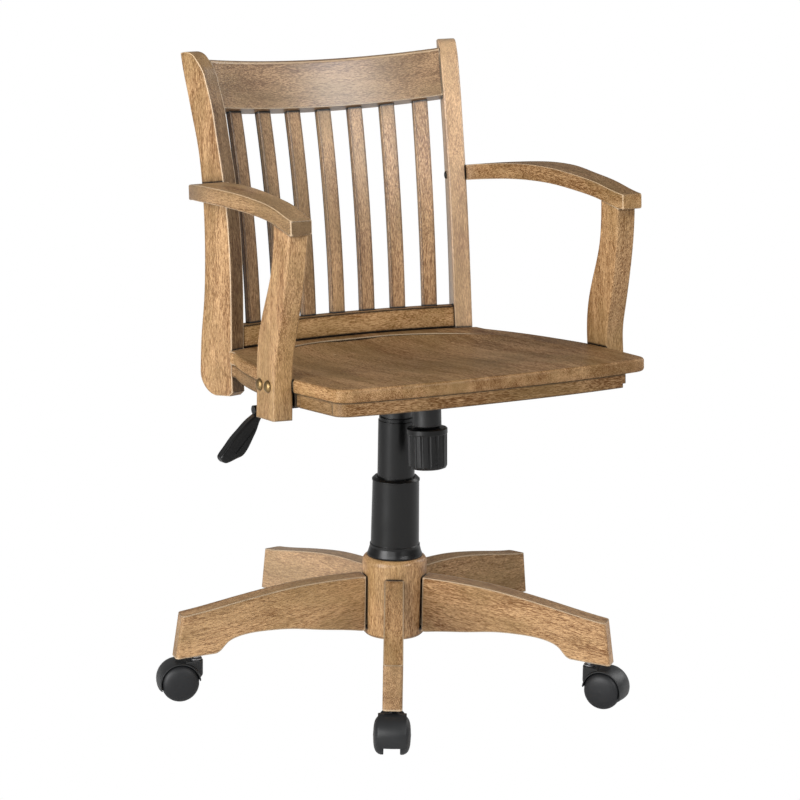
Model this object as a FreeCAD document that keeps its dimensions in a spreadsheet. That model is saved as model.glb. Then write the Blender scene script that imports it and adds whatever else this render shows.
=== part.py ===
import FreeCAD, Part
import Sketcher
import math
import os

# Swivel armchair with a slatted wooden back, a scooped seat, a five-leg base on twin-wheel casters,
# a telescoping column and a spring tilt mechanism under the seat.
# World frame: +Z up, the chair faces -Y, origin on the floor on the swivel axis, millimetres.
# Seat frame: origin on the seat's top plane on the swivel axis, pitched back by seat_pitch.

V = FreeCAD.Vector
os.makedirs("parts", exist_ok=True)
doc = FreeCAD.newDocument("swivel_armchair")
sheet = doc.addObject("Spreadsheet::Sheet", "Sizes")

SIZES = (
    ("seat_height", 502.7),
    ("seat_pitch", 4.5),
    ("slab_thickness", 19),
    ("strip_thickness", 19),
    ("strip_inset", 3.5),
    ("seat_front_depth", 303.5),
    ("seat_half_width", 255),
    ("seat_front_half_width", 254),
    ("seat_rear_half_width", 203),
    ("seat_rear_depth", 188),
    ("seat_front_corner", 30),
    ("slab_round", 4.5),
    ("scoop_rear_depth", 140),
    ("scoop_half_width", 200),
    ("scoop_depth", 9),
    ("front_strip_depth", 66),
    ("side_strip_width", 44),
    ("left_strip_edge", 206),
    ("left_strip_step", 5),
    ("left_strip_width", 39),
    ("rear_strip_depth", 52),
    ("stile_half_span", 202),
    ("stile_front_depth", 134),
    ("stile_toe", 22),
    ("stile_lean", 1.15),
    ("stile_width", 27),
    ("stile_head_height", 431),
    ("stile_foot_drop", 69),
    ("stile_sweep", 82),
    ("stile_foot_width", 64),
    ("stile_waist_width", 50),
    ("stile_head_width", 40),
    ("stile_round", 2.5),
    ("back_radius", 640),
    ("crest_half_span", 182),
    ("crest_front_depth", 178),
    ("crest_bottom_height", 349),
    ("crest_height", 75),
    ("crest_thickness", 26),
    ("crest_lean", 20),
    ("crest_round", 7),
    ("rail_half_span", 177.5),
    ("rail_front_depth", 145.5),
    ("rail_bottom_height", 1.2),
    ("rail_height", 31.8),
    ("rail_thickness", 24),
    ("slat_width", 23),
    ("slat_thickness", 9),
    ("slat_pitch", 49),
    ("slat_setback", 13),
    ("slat_bow", 7),
    ("slat_round", 2),
    ("arm_front_setback", 82.5),
    ("arm_rear_reach", 58),
    ("arm_front_height", 225),
    ("arm_rear_height", 239.5),
    ("arm_crown_height", 252.5),
    ("arm_thickness", 22.5),
    ("arm_front_outer", 280),
    ("arm_front_inner", 247),
    ("arm_middle_outer", 287),
    ("arm_middle_inner", 234),
    ("arm_rear_width", 24),
    ("arm_round", 2.5),
    ("post_lap", 2),
    ("post_front_setback", 140.5),
    ("post_lean", 1.8),
    ("post_thickness", 30),
    ("post_depth", 54),
    ("post_sweep", 44),
    ("post_foot_drop", 56),
    ("post_round", 3),
    ("post_bolt_head_radius", 8.2),
    ("post_bolt_head_height", 4.6),
    ("post_bolt_shank_radius", 3.2),
    ("post_bolt_length", 40),
    ("post_bolt_gap", 25),
    ("post_bolt_drop", 9.5),
    ("frame_bolt_head_radius", 6),
    ("frame_bolt_head_height", 3.2),
    ("frame_bolt_shank_radius", 3),
    ("bore_clearance", 0.15),
    ("axle_drop", 44),
    ("axle_forward", 40),
    ("axle_radius", 6),
    ("running_clearance", 0.06),
    ("plate_half_width", 90),
    ("plate_front", 112),
    ("plate_rear", 84),
    ("plate_thickness", 3),
    ("ear_thickness", 3.2),
    ("housing_half_width", 49),
    ("housing_wall", 3.5),
    ("housing_front", 112),
    ("housing_rear", 52),
    ("housing_bottom_drop", 80),
    ("housing_step", 8),
    ("column_top", 403.5),
    ("boss_radius", 23.5),
    ("boss_height", 48),
    ("knob_forward", 82),
    ("cup_radius", 20.8),
    ("cup_height", 30),
    ("knob_radius", 29.3),
    ("knob_height", 59.5),
    ("knob_boss_radius", 8),
    ("lever_drop", 68),
    ("lever_setback", 12),
    ("lever_rod_radius", 4),
    ("lever_pin_radius", 2.5),
    ("lever_pivot_out", 33),
    ("lever_reach", 226),
    ("paddle_reach", 72),
    ("paddle_drop", 71),
    ("paddle_thickness", 16),
    ("paddle_round", 2.5),
    ("screw_head_radius", 5.5),
    ("screw_length", 10),
    ("tube_radius", 25),
    ("tube_bottom", 74.5),
    ("tube_top", 294.5),
    ("cylinder_radius", 14),
    ("cylinder_bottom", 167.5),
    ("cylinder_top", 448.5),
    ("piston_rod_radius", 5),
    ("cover_upper_radius", 27.2),
    ("cover_upper_bottom", 276.5),
    ("cover_lower_radius", 35.2),
    ("cover_lower_top", 313.5),
    ("cover_flare_radius", 40.3),
    ("cover_wall", 1.6),
    ("hub_radius", 47.5),
    ("hub_foot_radius", 44.5),
    ("hub_top", 195.5),
    ("hub_bottom", 76),
    ("hub_round", 10),
    ("leg_azimuth", 28.8),
    ("leg_thickness", 28),
    ("leg_root_radius", 37),
    ("leg_root_top", 167.5),
    ("leg_root_bottom", 85.3),
    ("leg_tip_slant", 9),
    ("leg_tenon", 16),
    ("leg_shoulder_gap", 0.5),
    ("leg_toe_radius", 333.5),
    ("leg_tip_top", 127.5),
    ("leg_toe_bottom", 64),
    ("leg_corner", 5),
    ("caster_inset", 32.5),
    ("caster_seat_height", 66.3),
    ("caster_trail", 25),
    ("wheel_radius", 27.5),
    ("wheel_inner_offset", 11.5),
    ("wheel_tread_offset", 15),
    ("wheel_outer_offset", 26.5),
    ("hood_radius", 31.5),
    ("hood_half_width", 20),
    ("hood_web_half_width", 10.9),
    ("hood_neck_reach", 10.5),
    ("wheel_gap", 0.8),
    ("stem_radius", 5.5),
    ("stem_top", 98.5),
    ("axle_pin_radius", 3),
    ("socket_radius", 7.5),
    ("socket_flange_radius", 10.5),
    ("yaw_front", 0),
    ("yaw_right", -4),
    ("yaw_left", -6),
    ("yaw_rear_right", 0),
    ("yaw_rear_left", 0),
)
for row, (alias, number) in enumerate(SIZES, start=2):
    sheet.set("A%d" % row, alias)
    sheet.set("B%d" % row, str(number))
    sheet.setAlias("B%d" % row, alias)
doc.recompute()


def val(alias):
    return float(sheet.get(alias))


def bind(obj, prop, formula):
    obj.setExpression(prop, formula)


def size(alias):
    return "Sizes.%s" % alias


# frames

def place(x=0, y=0, z=0, axis=None, angle=0):
    turn = FreeCAD.Rotation(axis, angle) if axis else FreeCAD.Rotation()
    return FreeCAD.Placement(V(x, y, z), turn)


X_AXIS = V(1, 0, 0)
Y_AXIS = V(0, 1, 0)
Z_AXIS = V(0, 0, 1)
SEAT = place(0, 0, val("seat_height"), X_AXIS, -val("seat_pitch"))
RIGHT = -1
LEFT = 1
SIDES = ((RIGHT, "right"), (LEFT, "left"))


def stile_frame(side):
    # origin on the post's outer front arris at seat level, Y to the rear along the post's outer face
    local = place(side * val("stile_half_span"), val("stile_front_depth"), 0, Z_AXIS, -side * val("stile_toe"))
    lean = place(0, 0, 0, Y_AXIS, -side * val("stile_lean"))
    return SEAT.multiply(local).multiply(lean)


def post_frame(side):
    # origin in the middle of the arm post at seat level
    across = val("seat_half_width") - val("post_lap") + val("post_thickness") / 2
    deep = val("post_front_setback") + val("post_depth") / 2 - val("seat_front_depth")
    return SEAT.multiply(place(side * across, deep, 0, Y_AXIS, -side * val("post_lean")))


CREST = SEAT.multiply(place(0, val("crest_front_depth"), val("crest_bottom_height"), X_AXIS, -val("crest_lean")))
RAIL = SEAT.multiply(place(0, val("rail_front_depth"), val("rail_bottom_height")))


def leg_frame(index):
    # X runs outward along the leg
    return place(0, 0, 0, Z_AXIS, -90 - (val("leg_azimuth") + 72 * index))


# construction helpers

def new_body(label, frame):
    body = doc.addObject("PartDesign::Body", label)
    body.Label = label
    body.Placement = frame
    return body


def origin_plane(body, role):
    return [f for f in body.Origin.OriginFeatures if f.Role == role][0]


def new_sketch(body, name, role, offset=0, offset_formula=None):
    sketch = body.newObject("Sketcher::SketchObject", name)
    sketch.AttachmentSupport = [(origin_plane(body, role), "")]
    sketch.MapMode = "FlatFace"
    sketch.AttachmentOffset = place(0, 0, offset)
    if offset_formula:
        bind(sketch, "AttachmentOffset.Base.z", offset_formula)
    return sketch


def add_lines(sketch, points, closed=True):
    pairs = list(zip(points, points[1:]))
    if closed:
        pairs.append((points[-1], points[0]))
    first = sketch.GeometryCount
    for start, end in pairs:
        sketch.addGeometry(Part.LineSegment(V(start[0], start[1], 0), V(end[0], end[1], 0)), False)
    for k in range(len(pairs) - 1):
        sketch.addConstraint(Sketcher.Constraint("Coincident", first + k, 2, first + k + 1, 1))
    if closed:
        sketch.addConstraint(Sketcher.Constraint("Coincident", first + len(pairs) - 1, 2, first, 1))


def add_curve(sketch, points):
    curve = Part.BSplineCurve()
    curve.interpolate([V(p[0], p[1], 0) for p in points])
    sketch.addGeometry(curve, False)


def add_circle(sketch, x, y, radius, formula=None):
    index = sketch.addGeometry(Part.Circle(V(x, y, 0), Z_AXIS, radius), False)
    if formula:
        number = sketch.addConstraint(Sketcher.Constraint("Radius", index, radius))
        bind(sketch, "Constraints[%d]" % number, formula)


def add_box(sketch, x0, x1, y0, y1):
    add_lines(sketch, [(x0, y0), (x1, y0), (x1, y1), (x0, y1)])


def new_pad(body, name, sketch, formula, reverse=False, middle=False):
    pad = body.newObject("PartDesign::Pad", name)
    pad.Profile = sketch
    pad.Reversed = reverse
    pad.Midplane = middle
    bind(pad, "Length", formula)
    sketch.Visibility = False
    return pad


def new_pocket(body, name, sketch, formula=None, reverse=False, middle=False):
    pocket = body.newObject("PartDesign::Pocket", name)
    pocket.Profile = sketch
    pocket.Reversed = reverse
    pocket.Midplane = middle
    if formula:
        bind(pocket, "Length", formula)
    else:
        pocket.Type = 1
    return pocket


def new_turning(body, name, sketch, kind="PartDesign::Revolution"):
    # revolves a profile drawn on the XZ plane about the body's Z axis
    turning = body.newObject(kind, name)
    turning.Profile = sketch
    turning.ReferenceAxis = (sketch, ["V_Axis"])
    turning.Angle = 360
    return turning


def turned_body(label, frame, points):
    body = new_body(label, frame)
    sketch = new_sketch(body, label + "_outline", "XZ_Plane")
    add_lines(sketch, points)
    new_turning(body, label + "_turning", sketch)
    return body


def long_edges(shape, test):
    names = []
    for number, edge in enumerate(shape.Edges, start=1):
        if test(edge):
            names.append(number)
    return names


def eased(base, label, alias, test):
    # rounds every edge that passes the test, by the named radius
    doc.recompute()
    radius = val(alias)
    fillet = doc.addObject("Part::Fillet", label)
    fillet.Label = label
    fillet.Base = base
    fillet.Edges = [(n, radius, radius) for n in long_edges(base.Shape, test)]
    return fillet


def body_fillet(body, name, alias, test):
    doc.recompute()
    tip = body.Tip
    fillet = body.newObject("PartDesign::Fillet", name)
    fillet.Base = (tip, ["Edge%d" % n for n in long_edges(tip.Shape, test)])
    bind(fillet, "Radius", size(alias))
    return fillet


def cut(label, base, tool):
    result = doc.addObject("Part::Cut", label)
    result.Label = label
    result.Base = base
    result.Tool = tool
    return result


def common(label, base, tool):
    result = doc.addObject("Part::Common", label)
    result.Label = label
    result.Base = base
    result.Tool = tool
    return result


def gathered(label, members):
    group = doc.addObject("Part::Compound", label)
    group.Label = label
    group.Links = members
    return group


def block(label, frame, x0, x1, y0, y1, z0, z1):
    box = doc.addObject("Part::Box", label)
    box.Length = x1 - x0
    box.Width = y1 - y0
    box.Height = z1 - z0
    box.Placement = frame.multiply(place(x0, y0, z0))
    return box


def rod(label, frame, radius, length):
    # round bar along the frame's Z axis
    bar = doc.addObject("Part::Cylinder", label)
    bar.Radius = radius
    bar.Height = length
    bar.Placement = frame
    return bar


nodes = {}


def keep(name, obj):
    obj.Label = name
    nodes[name] = obj


def centre_of(edge):
    return edge.valueAt((edge.FirstParameter + edge.LastParameter) / 2)


REACH = 400
FREE = 0.02

# back posts: S-curved planks, toed in, with a long radius at the head and the foot
# (height share above the seat, sweep share) of the front arris
FRONT_SWEEP = ((0.07, 0.0), (0.28, 0.0), (0.47, 0.065), (0.58, 0.14), (0.742, 0.30), (0.817, 0.375),
               (0.898, 0.505), (0.94, 0.59), (0.97, 0.71), (0.988, 0.80), (0.997, 0.89), (1.0, 0.98))


def stile_points():
    top = val("stile_head_height")
    foot = -val("stile_foot_drop")
    sweep = val("stile_sweep")
    wide = val("stile_foot_width")
    waist = val("stile_waist_width")
    head = val("stile_head_width")
    tip = (sweep + head * 0.27, top * 0.996)
    front = [(0, foot * 0.9)] + [(sweep * s, top * h) for h, s in FRONT_SWEEP] + [tip]
    rear = [tip, (sweep * 0.64 + head * 0.90, top * 0.94), (sweep * 0.5 + head * 1.0, top * 0.87),
            (sweep * 0.35 + head * 1.1, top * 0.79), (sweep * 0.235 + waist * 0.88, top * 0.70),
            (sweep * 0.14 + waist * 0.89, top * 0.585), (sweep * 0.04 + waist * 0.98, top * 0.46),
            (waist * 1.04, top * 0.28), (waist * 1.12, top * 0.14), (wide * 0.955, top * 0.045),
            (wide, foot * 0.38), (wide * 0.99, foot * 0.62), (wide * 0.84, foot * 0.86), (wide * 0.53, foot)]
    return front, rear


def make_stile(side, word):
    front, rear = stile_points()
    body = new_body("back_post_%s_plank" % word, stile_frame(side))
    sketch = new_sketch(body, "back_post_%s_outline" % word, "YZ_Plane")
    add_curve(sketch, front)
    add_curve(sketch, rear)
    toe = (val("stile_foot_width") * 0.11, -val("stile_foot_drop") * 0.985)
    add_lines(sketch, [rear[-1], toe, front[0]], closed=False)
    new_pad(body, "back_post_%s_pad" % word, sketch, size("stile_width"), reverse=(side == LEFT))
    return body


def on_face_edge(edge):
    return abs(edge.Vertexes[0].Point.x - edge.Vertexes[-1].Point.x) < FREE


left_stile = make_stile(LEFT, "left")
body_fillet(left_stile, "back_post_left_eased", "stile_round", on_face_edge)
right_stile = doc.addObject("Part::Mirroring", "back_post_right_plank")
right_stile.Source = left_stile
right_stile.Normal = X_AXIS
stiles = {LEFT: left_stile, RIGHT: right_stile}


def stile_space(label, side, outer=-60, inner=None, front=0, rear=160, low=-120, high=520):
    # block that fills the room of a back post, in the post's own frame
    width = val("stile_width")
    x_out = outer
    x_in = width if inner is None else inner
    if side == RIGHT:
        return block(label, stile_frame(side), x_out, x_in, front, rear, low, high)
    return block(label, stile_frame(side), -x_in, -x_out, front, rear, low, high)


# curved rails of the back: bent boards between the posts

def arc_band(body, name, half_span, radius, thickness, ends):
    sag = radius - math.sqrt(radius ** 2 - half_span ** 2)
    centre_y = sag - radius
    sketch = new_sketch(body, name, "XY_Plane")
    swing = math.asin(ends / radius)
    up = math.pi / 2
    inner = Part.ArcOfCircle(Part.Circle(V(0, centre_y, 0), Z_AXIS, radius), up - swing, up + swing)
    outer = Part.ArcOfCircle(Part.Circle(V(0, centre_y, 0), Z_AXIS, radius + thickness), up - swing, up + swing)
    sketch.addGeometry(inner, False)
    sketch.addGeometry(outer, False)
    sketch.addGeometry(Part.LineSegment(inner.StartPoint, outer.StartPoint), False)
    sketch.addGeometry(Part.LineSegment(inner.EndPoint, outer.EndPoint), False)
    return sketch


def make_rail(name, frame, span, height, thickness, spread):
    body = new_body(name + "_board", frame)
    sketch = arc_band(body, name + "_plan", val(span), val("back_radius"), val(thickness), val(span) + spread)
    new_pad(body, name + "_pad", sketch, size(height))
    return body


crest_board = make_rail("crest_rail", CREST, "crest_half_span", "crest_height", "crest_thickness", 40)
rail_board = make_rail("back_lower_rail", RAIL, "rail_half_span", "rail_height", "rail_thickness", 26)


def crest_top_edge(edge):
    if edge.Length < 200:
        return False
    middle = CREST.inverse().multVec(centre_of(edge))
    return middle.z > val("crest_height") - 1 and middle.y < val("back_radius") / 20 + 4


crest_top = eased(crest_board, "crest_rail_topped", "crest_round", crest_top_edge)
spaces = gathered("post_spaces", [stile_space("post_space_%s" % w, s) for s, w in SIDES])
keep("crest_rail", cut("crest_rail", crest_top, spaces))
spaces_low = gathered("post_spaces_low", [stile_space("post_space_low_%s" % w, s) for s, w in SIDES])
keep("back_lower_rail", cut("back_lower_rail", rail_board, spaces_low))

# seven flat slats, bowed toward the sitter, trimmed under the crest rail
SLATS = 7


def back_depth(span_alias, x):
    radius = val("back_radius")
    return math.sqrt(radius ** 2 - x ** 2) - math.sqrt(radius ** 2 - val(span_alias) ** 2)


def make_slat(number):
    x = (number - (SLATS + 1) / 2) * val("slat_pitch")
    turn = -math.degrees(math.asin(x / val("back_radius")))
    foot = V(x, val("rail_front_depth") + back_depth("rail_half_span", x) + val("slat_setback"),
             val("rail_bottom_height") + val("rail_height"))
    crest_local = V(x, back_depth("crest_half_span", x) + val("slat_setback"), 0)
    head = SEAT.inverse().multVec(CREST.multVec(crest_local))
    frame = SEAT.multiply(place(foot.x, foot.y, foot.z, Z_AXIS, turn))
    rise = head.z - foot.z
    sweep = (head.y - foot.y) * math.cos(math.radians(turn))
    bow = val("slat_bow")
    thick = val("slat_thickness")
    over = 0.045
    shares = (0, 0.25, 0.5, 0.75, 1 + over)
    face = [(sweep * k - 4 * bow * k * (1 - k), rise * k) for k in shares]
    back = [(p[0] + thick, p[1]) for p in face]
    body = new_body("back_slat_%d_blank" % number, frame)
    sketch = new_sketch(body, "back_slat_%d_side" % number, "YZ_Plane")
    add_curve(sketch, face)
    add_lines(sketch, [face[-1], back[-1]], closed=False)
    add_curve(sketch, list(reversed(back)))
    add_lines(sketch, [back[0], face[0]], closed=False)
    new_pad(body, "back_slat_%d_pad" % number, sketch, size("slat_width"), middle=True)
    doc.recompute()

    def face_edge(edge):
        a = frame.inverse().multVec(edge.Vertexes[0].Point)
        return edge.Length > 100 and a.y < thick * 0.5 + (sweep if a.z > rise / 2 else 0)
    soft = eased(body, "back_slat_%d_eased" % number, "slat_round", face_edge)
    roof = block("back_slat_%d_roof" % number, CREST, -REACH, REACH, -60, 120, 0, 60)
    keep("back_slat_%d" % number, cut("back_slat_%d" % number, soft, roof))


for number in range(1, SLATS + 1):
    make_slat(number)

# seat: a slab with bowed front, tapering sides and a scooped top, over set-back build-up strips
# (depth share from the front corner to the rear, half-width share) along the side
SIDE_TAPER = ((0.0, 0.973), (0.115, 0.985), (0.215, 0.995), (0.34, 0.997), (0.48, 0.973), (0.64, 0.933),
              (0.78, 0.878), (0.905, 0.812))


def seat_outline(inset):
    front = -val("seat_front_depth") + inset
    corner = val("seat_front_corner") - inset
    wide = val("seat_half_width") - inset
    front_wide = wide * SIDE_TAPER[0][1]
    run = val("stile_front_depth") + val("seat_front_depth")
    shoulder = front + corner + 12
    side = []
    for share, width in SIDE_TAPER:
        side.append((wide * width, -val("seat_front_depth") + 42 + (run - 42) * share * 1.065))
    turn_x = front_wide - corner
    front_curve = [(-turn_x, front + 14), (-turn_x * 0.86, front + 9.5), (-wide * 0.4, front + 2), (0, front),
                   (wide * 0.4, front + 2), (turn_x * 0.86, front + 9.5), (turn_x, front + 14)]
    side[0] = (front_wide, shoulder)
    return front_curve, side


def draw_seat(sketch, inset):
    front_curve, side = seat_outline(inset)
    start = front_curve[-1]
    end = side[0]
    bend_x = end[0]
    bend_y = start[1] + (bend_x - start[0]) * 0.12
    blend = []
    steps = 5
    for k in range(1, steps):
        t = k / steps
        x = (1 - t) ** 2 * start[0] + 2 * t * (1 - t) * bend_x + t ** 2 * end[0]
        y = (1 - t) ** 2 * start[1] + 2 * t * (1 - t) * bend_y + t ** 2 * end[1]
        blend.append((x, y))
    half = blend + side
    whole = [(-p[0], p[1]) for p in reversed(half)] + front_curve + half
    add_curve(sketch, whole)
    rear = val("seat_rear_depth") - inset
    tail = side[-1]
    add_lines(sketch, [tail, (tail[0], rear), (-tail[0], rear), (-tail[0], tail[1])], closed=False)


slab_body = new_body("seat_slab_board", SEAT)
slab_sketch = new_sketch(slab_body, "seat_slab_outline", "XY_Plane")
draw_seat(slab_sketch, 0)
new_pad(slab_body, "seat_slab_pad", slab_sketch, size("slab_thickness"), reverse=True)


def slab_rim(edge):
    # the two long curved edges round the front and the sides
    return edge.Length > 2 * val("seat_half_width")


body_fillet(slab_body, "seat_slab_rim", "slab_round", slab_rim)

# saddle scoop: (depth share from the rear rim, width share, depth share, wall share, ridge share)
# a wall share below zero lets the section run out above the slab's top, so the hollow fades away
SCOOP = ((0.0, 0.26, 0.34, 0.20, 1.0), (0.03, 0.47, 0.52, 0.20, 1.0), (0.09, 0.675, 0.74, 0.15, 1.0),
         (0.18, 0.84, 0.93, 0.05, 1.0), (0.31, 0.98, 1.0, -0.06, 0.96), (0.50, 1.07, 0.86, -0.12, 0.86),
         (0.70, 1.11, 0.55, -0.14, 0.70), (0.87, 1.13, 0.22, -0.15, 0.5), (1.0, 1.13, -0.04, -0.16, 1.0))
SCOOP_RUN = 395
scoop_sketches = []
for number, (along, width, deep, wall, ridge) in enumerate(SCOOP):
    y = val("scoop_rear_depth") - SCOOP_RUN * along
    half = val("scoop_half_width") * width
    low = -val("scoop_depth") * deep
    lip = -val("scoop_depth") * wall
    section = new_sketch(slab_body, "seat_scoop_%d" % number, "XZ_Plane", -y)
    add_lines(section, [(half, lip), (half, 5), (-half, 5), (-half, lip)], closed=False)
    add_curve(section, [(-half, lip), (-half * 0.74, low * 0.72), (-half * 0.42, low), (0, low * ridge),
                        (half * 0.42, low), (half * 0.74, low * 0.72), (half, lip)])
    scoop_sketches.append(section)
scoop = slab_body.newObject("PartDesign::SubtractiveLoft", "seat_scoop")
scoop.Profile = scoop_sketches[0]
scoop.Sections = scoop_sketches[1:]
scoop.Ruled = False

# room taken from the seat by the back posts and the arm posts
seat_cutters = [stile_space("seat_notch_%s" % w, s) for s, w in SIDES]


def post_room(label, side, inner, front, rear, low, high):
    # block on the outer side of a plane in the arm post's frame
    far = 60
    if side == RIGHT:
        return block(label, post_frame(side), -far, inner, front, rear, low, high)
    return block(label, post_frame(side), -inner, far, front, rear, low, high)


half_post = val("post_thickness") / 2
rear_edge = val("post_depth") / 2
front_edge = -val("post_depth") / 2
for side, word in SIDES:
    seat_cutters.append(post_room("slab_notch_%s" % word, side, half_post, front_edge - 0.3, rear_edge + 0.3,
                                  -val("slab_thickness") - 5, 5))

# arm posts: ogee planks let a little into the slab's edge
POST_FRONT = ((-1.0, 0.0), (-0.25, 0.0), (0.0, 0.0), (0.1, 0.023), (0.296, 0.268), (0.494, 0.545), (0.741, 0.836),
              (0.963, 1.0), (1.1, 1.04))
POST_REAR = ((1.1, 1.22), (0.963, 1.18), (0.741, 1.0), (0.494, 0.516), (0.296, 0.16), (0.1, 0.01), (0.0, 0.0),
             (-1.0, -0.03))


def post_curve(table, edge_y):
    rise = val("arm_front_height") - val("arm_thickness")
    drop = val("post_foot_drop")
    sweep = val("post_sweep")
    points = []
    for high, out in table:
        z = high * (rise if high > 0 else drop)
        points.append((edge_y - out * sweep, z))
    return points


arm_posts = {}
post_bolt_bores = []
post_bolts = []


def bolt_body(label, frame, head_r, head_h, shank_r, length):
    # domed head on the frame's XY plane, shank along -Z
    body = new_body(label, frame)
    sketch = new_sketch(body, label + "_half", "XZ_Plane")
    add_lines(sketch, [(0, head_h), (0, -length), (shank_r, -length), (shank_r, 0), (head_r, 0),
                       (head_r, head_h * 0.22)], closed=False)
    add_curve(sketch, [(head_r, head_h * 0.22), (head_r * 0.86, head_h * 0.62), (head_r * 0.5, head_h * 0.92),
                       (0, head_h)])
    new_turning(body, label + "_turning", sketch)
    return body


def facing(origin, direction, frame):
    # frame whose Z axis looks along direction, both given in the parent frame
    turn = FreeCAD.Rotation(Z_AXIS, direction)
    return frame.multiply(FreeCAD.Placement(origin, turn))


for side, word in SIDES:
    frame = post_frame(side)
    body = new_body("arm_post_%s_plank" % word, frame)
    sketch = new_sketch(body, "arm_post_%s_side" % word, "YZ_Plane")
    ahead = post_curve(POST_FRONT, front_edge)
    behind = post_curve(POST_REAR, rear_edge)
    add_curve(sketch, ahead)
    add_lines(sketch, [ahead[-1], behind[0]], closed=False)
    add_curve(sketch, behind)
    add_lines(sketch, [behind[-1], ahead[0]], closed=False)
    new_pad(body, "arm_post_%s_pad" % word, sketch, size("post_thickness"), middle=True)
    doc.recompute()

    def post_arris(edge, frame=frame):
        a = frame.inverse().multVec(edge.Vertexes[0].Point)
        b = frame.inverse().multVec(edge.Vertexes[-1].Point)
        return abs(a.x - b.x) < FREE and edge.Length > 120
    soft = eased(body, "arm_post_%s_eased" % word, "post_round", post_arris)
    tools = []
    for place_number, step in enumerate((-0.5, 0.5)):
        origin = V(side * half_post, 3 + step * val("post_bolt_gap"), -val("post_bolt_drop"))
        bolt_frame = facing(origin, V(side, 0, 0), frame)
        name = "arm_post_bolt_%s_%d" % (word, place_number)
        post_bolts.append(bolt_body(name, bolt_frame, val("post_bolt_head_radius"), val("post_bolt_head_height"),
                                    val("post_bolt_shank_radius"), val("post_bolt_length")))
        bore = val("post_bolt_shank_radius") + val("bore_clearance")
        deep = val("post_bolt_length") + 1
        tools.append(rod(name + "_bore", bolt_frame.multiply(place(0, 0, -deep)), bore, deep + 4))
        post_bolt_bores.append(rod(name + "_slab_bore", bolt_frame.multiply(place(0, 0, -deep)), bore, deep))
    arm_posts[side] = (soft, tools)

# armrests: sawn to an arched side and a bellied plan, lapped on the outer face of the back post
# (depth share front to rear, plan offset share)
ARM_TOP = ((0.0, -1.0), (0.05, -0.86), (0.135, -0.56), (0.28, -0.255), (0.41, -0.07), (0.53, 0.0), (0.61, 0.0),
           (0.68, -0.08), (0.76, -0.24), (0.88, -0.56), (1.0, -1.0))


def arm_heights():
    crown = val("arm_crown_height")
    front_drop = crown - val("arm_front_height")
    rear_drop = crown - val("arm_rear_height")
    start = val("arm_front_setback") - val("seat_front_depth")
    run = 415
    points = []
    for along, share in ARM_TOP:
        drop = (front_drop if along < 0.55 else rear_drop) * -share
        points.append((start + run * along, crown - drop))
    return points


def make_arm(side, word):
    top = arm_heights()
    thick = val("arm_thickness")
    bottom = []
    for number, (y, z) in enumerate(top):
        share = number / (len(top) - 1)
        belly = 1 + 0.05 * math.sin(math.pi * share) - 0.03 * (1 - share) ** 2
        bottom.append((y, z - thick * belly))
    side_body = new_body("armrest_%s_side" % word, SEAT)
    sketch = new_sketch(side_body, "armrest_%s_arch" % word, "YZ_Plane")
    add_curve(sketch, top)
    add_lines(sketch, [top[-1], bottom[-1]], closed=False)
    add_curve(sketch, list(reversed(bottom)))
    add_lines(sketch, [bottom[0], top[0]], closed=False)
    pad = side_body.newObject("PartDesign::Pad", "armrest_%s_arch_pad" % word)
    pad.Profile = sketch
    pad.Midplane = True
    pad.Length = 2 * REACH
    plan_body = new_body("armrest_%s_plan" % word, SEAT)
    plan = new_sketch(plan_body, "armrest_%s_belly" % word, "XY_Plane")
    front = val("arm_front_setback") - val("seat_front_depth") + 0.5
    outer_front = val("arm_front_outer")
    inner_front = val("arm_front_inner")
    outer_mid = val("arm_middle_outer")
    inner_mid = val("arm_middle_inner")
    # rear end, square to the back post's outer face
    post_local = SEAT.inverse().multiply(stile_frame(side))
    lift = val("arm_rear_height")
    rear_in = post_local.multVec(V(0, val("arm_rear_reach"), lift))
    rear_out = post_local.multVec(V(side * val("arm_rear_width"), val("arm_rear_reach"), lift))
    lap_in = post_local.multVec(V(-side * 6, 4, lift))
    tail_in = post_local.multVec(V(-side * 6, val("arm_rear_reach"), lift))
    outer = [(side * outer_front, front), (side * (outer_front - 2.5), front + 48), (side * (outer_front - 2), front + 92),
             (side * (outer_mid - 6), front + 136), (side * outer_mid, front + 190), (side * outer_mid, front + 238),
             (side * (outer_mid - 8), front + 290), (side * (outer_mid - 23), front + 340), (rear_out.x, rear_out.y)]
    inner = [(lap_in.x, lap_in.y), (side * (inner_mid - 20), front + 327), (side * (inner_mid - 8), front + 280),
             (side * inner_mid, front + 212), (side * (inner_mid + 5), front + 115), (side * (inner_mid + 7), front + 61),
             (side * inner_front, front)]
    add_curve(plan, outer)
    add_lines(plan, [outer[-1], (tail_in.x, tail_in.y), (lap_in.x, lap_in.y)], closed=False)
    add_curve(plan, inner)
    add_lines(plan, [inner[-1], outer[0]], closed=False)
    pad = plan_body.newObject("PartDesign::Pad", "armrest_%s_belly_pad" % word)
    pad.Profile = plan
    pad.Length = REACH
    blank = common("armrest_%s_blank" % word, plan_body, side_body)
    lapped = cut("armrest_%s_lapped" % word, blank, stile_space("armrest_%s_lap" % word, side, outer=0, inner=80,
                                                                  front=-60))
    doc.recompute()
    rear_limit = val("stile_front_depth") - 20

    def arm_arris(edge):
        if edge.Length < 15:
            return False
        middle = SEAT.inverse().multVec(centre_of(edge))
        ends = [SEAT.inverse().multVec(v.Point) for v in edge.Vertexes]
        upright = abs(ends[0].z - ends[-1].z) > 15
        along = edge.Length > 200
        nose = middle.y < front + 4 and not upright
        return along or nose or (upright and middle.y < rear_limit)
    return eased(lapped, "armrest_%s_eased" % word, "arm_round", arm_arris), side_body


arms = {}
arm_arches = {}
for side, word in SIDES:
    arms[side], arm_arches[side] = make_arm(side, word)

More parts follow.
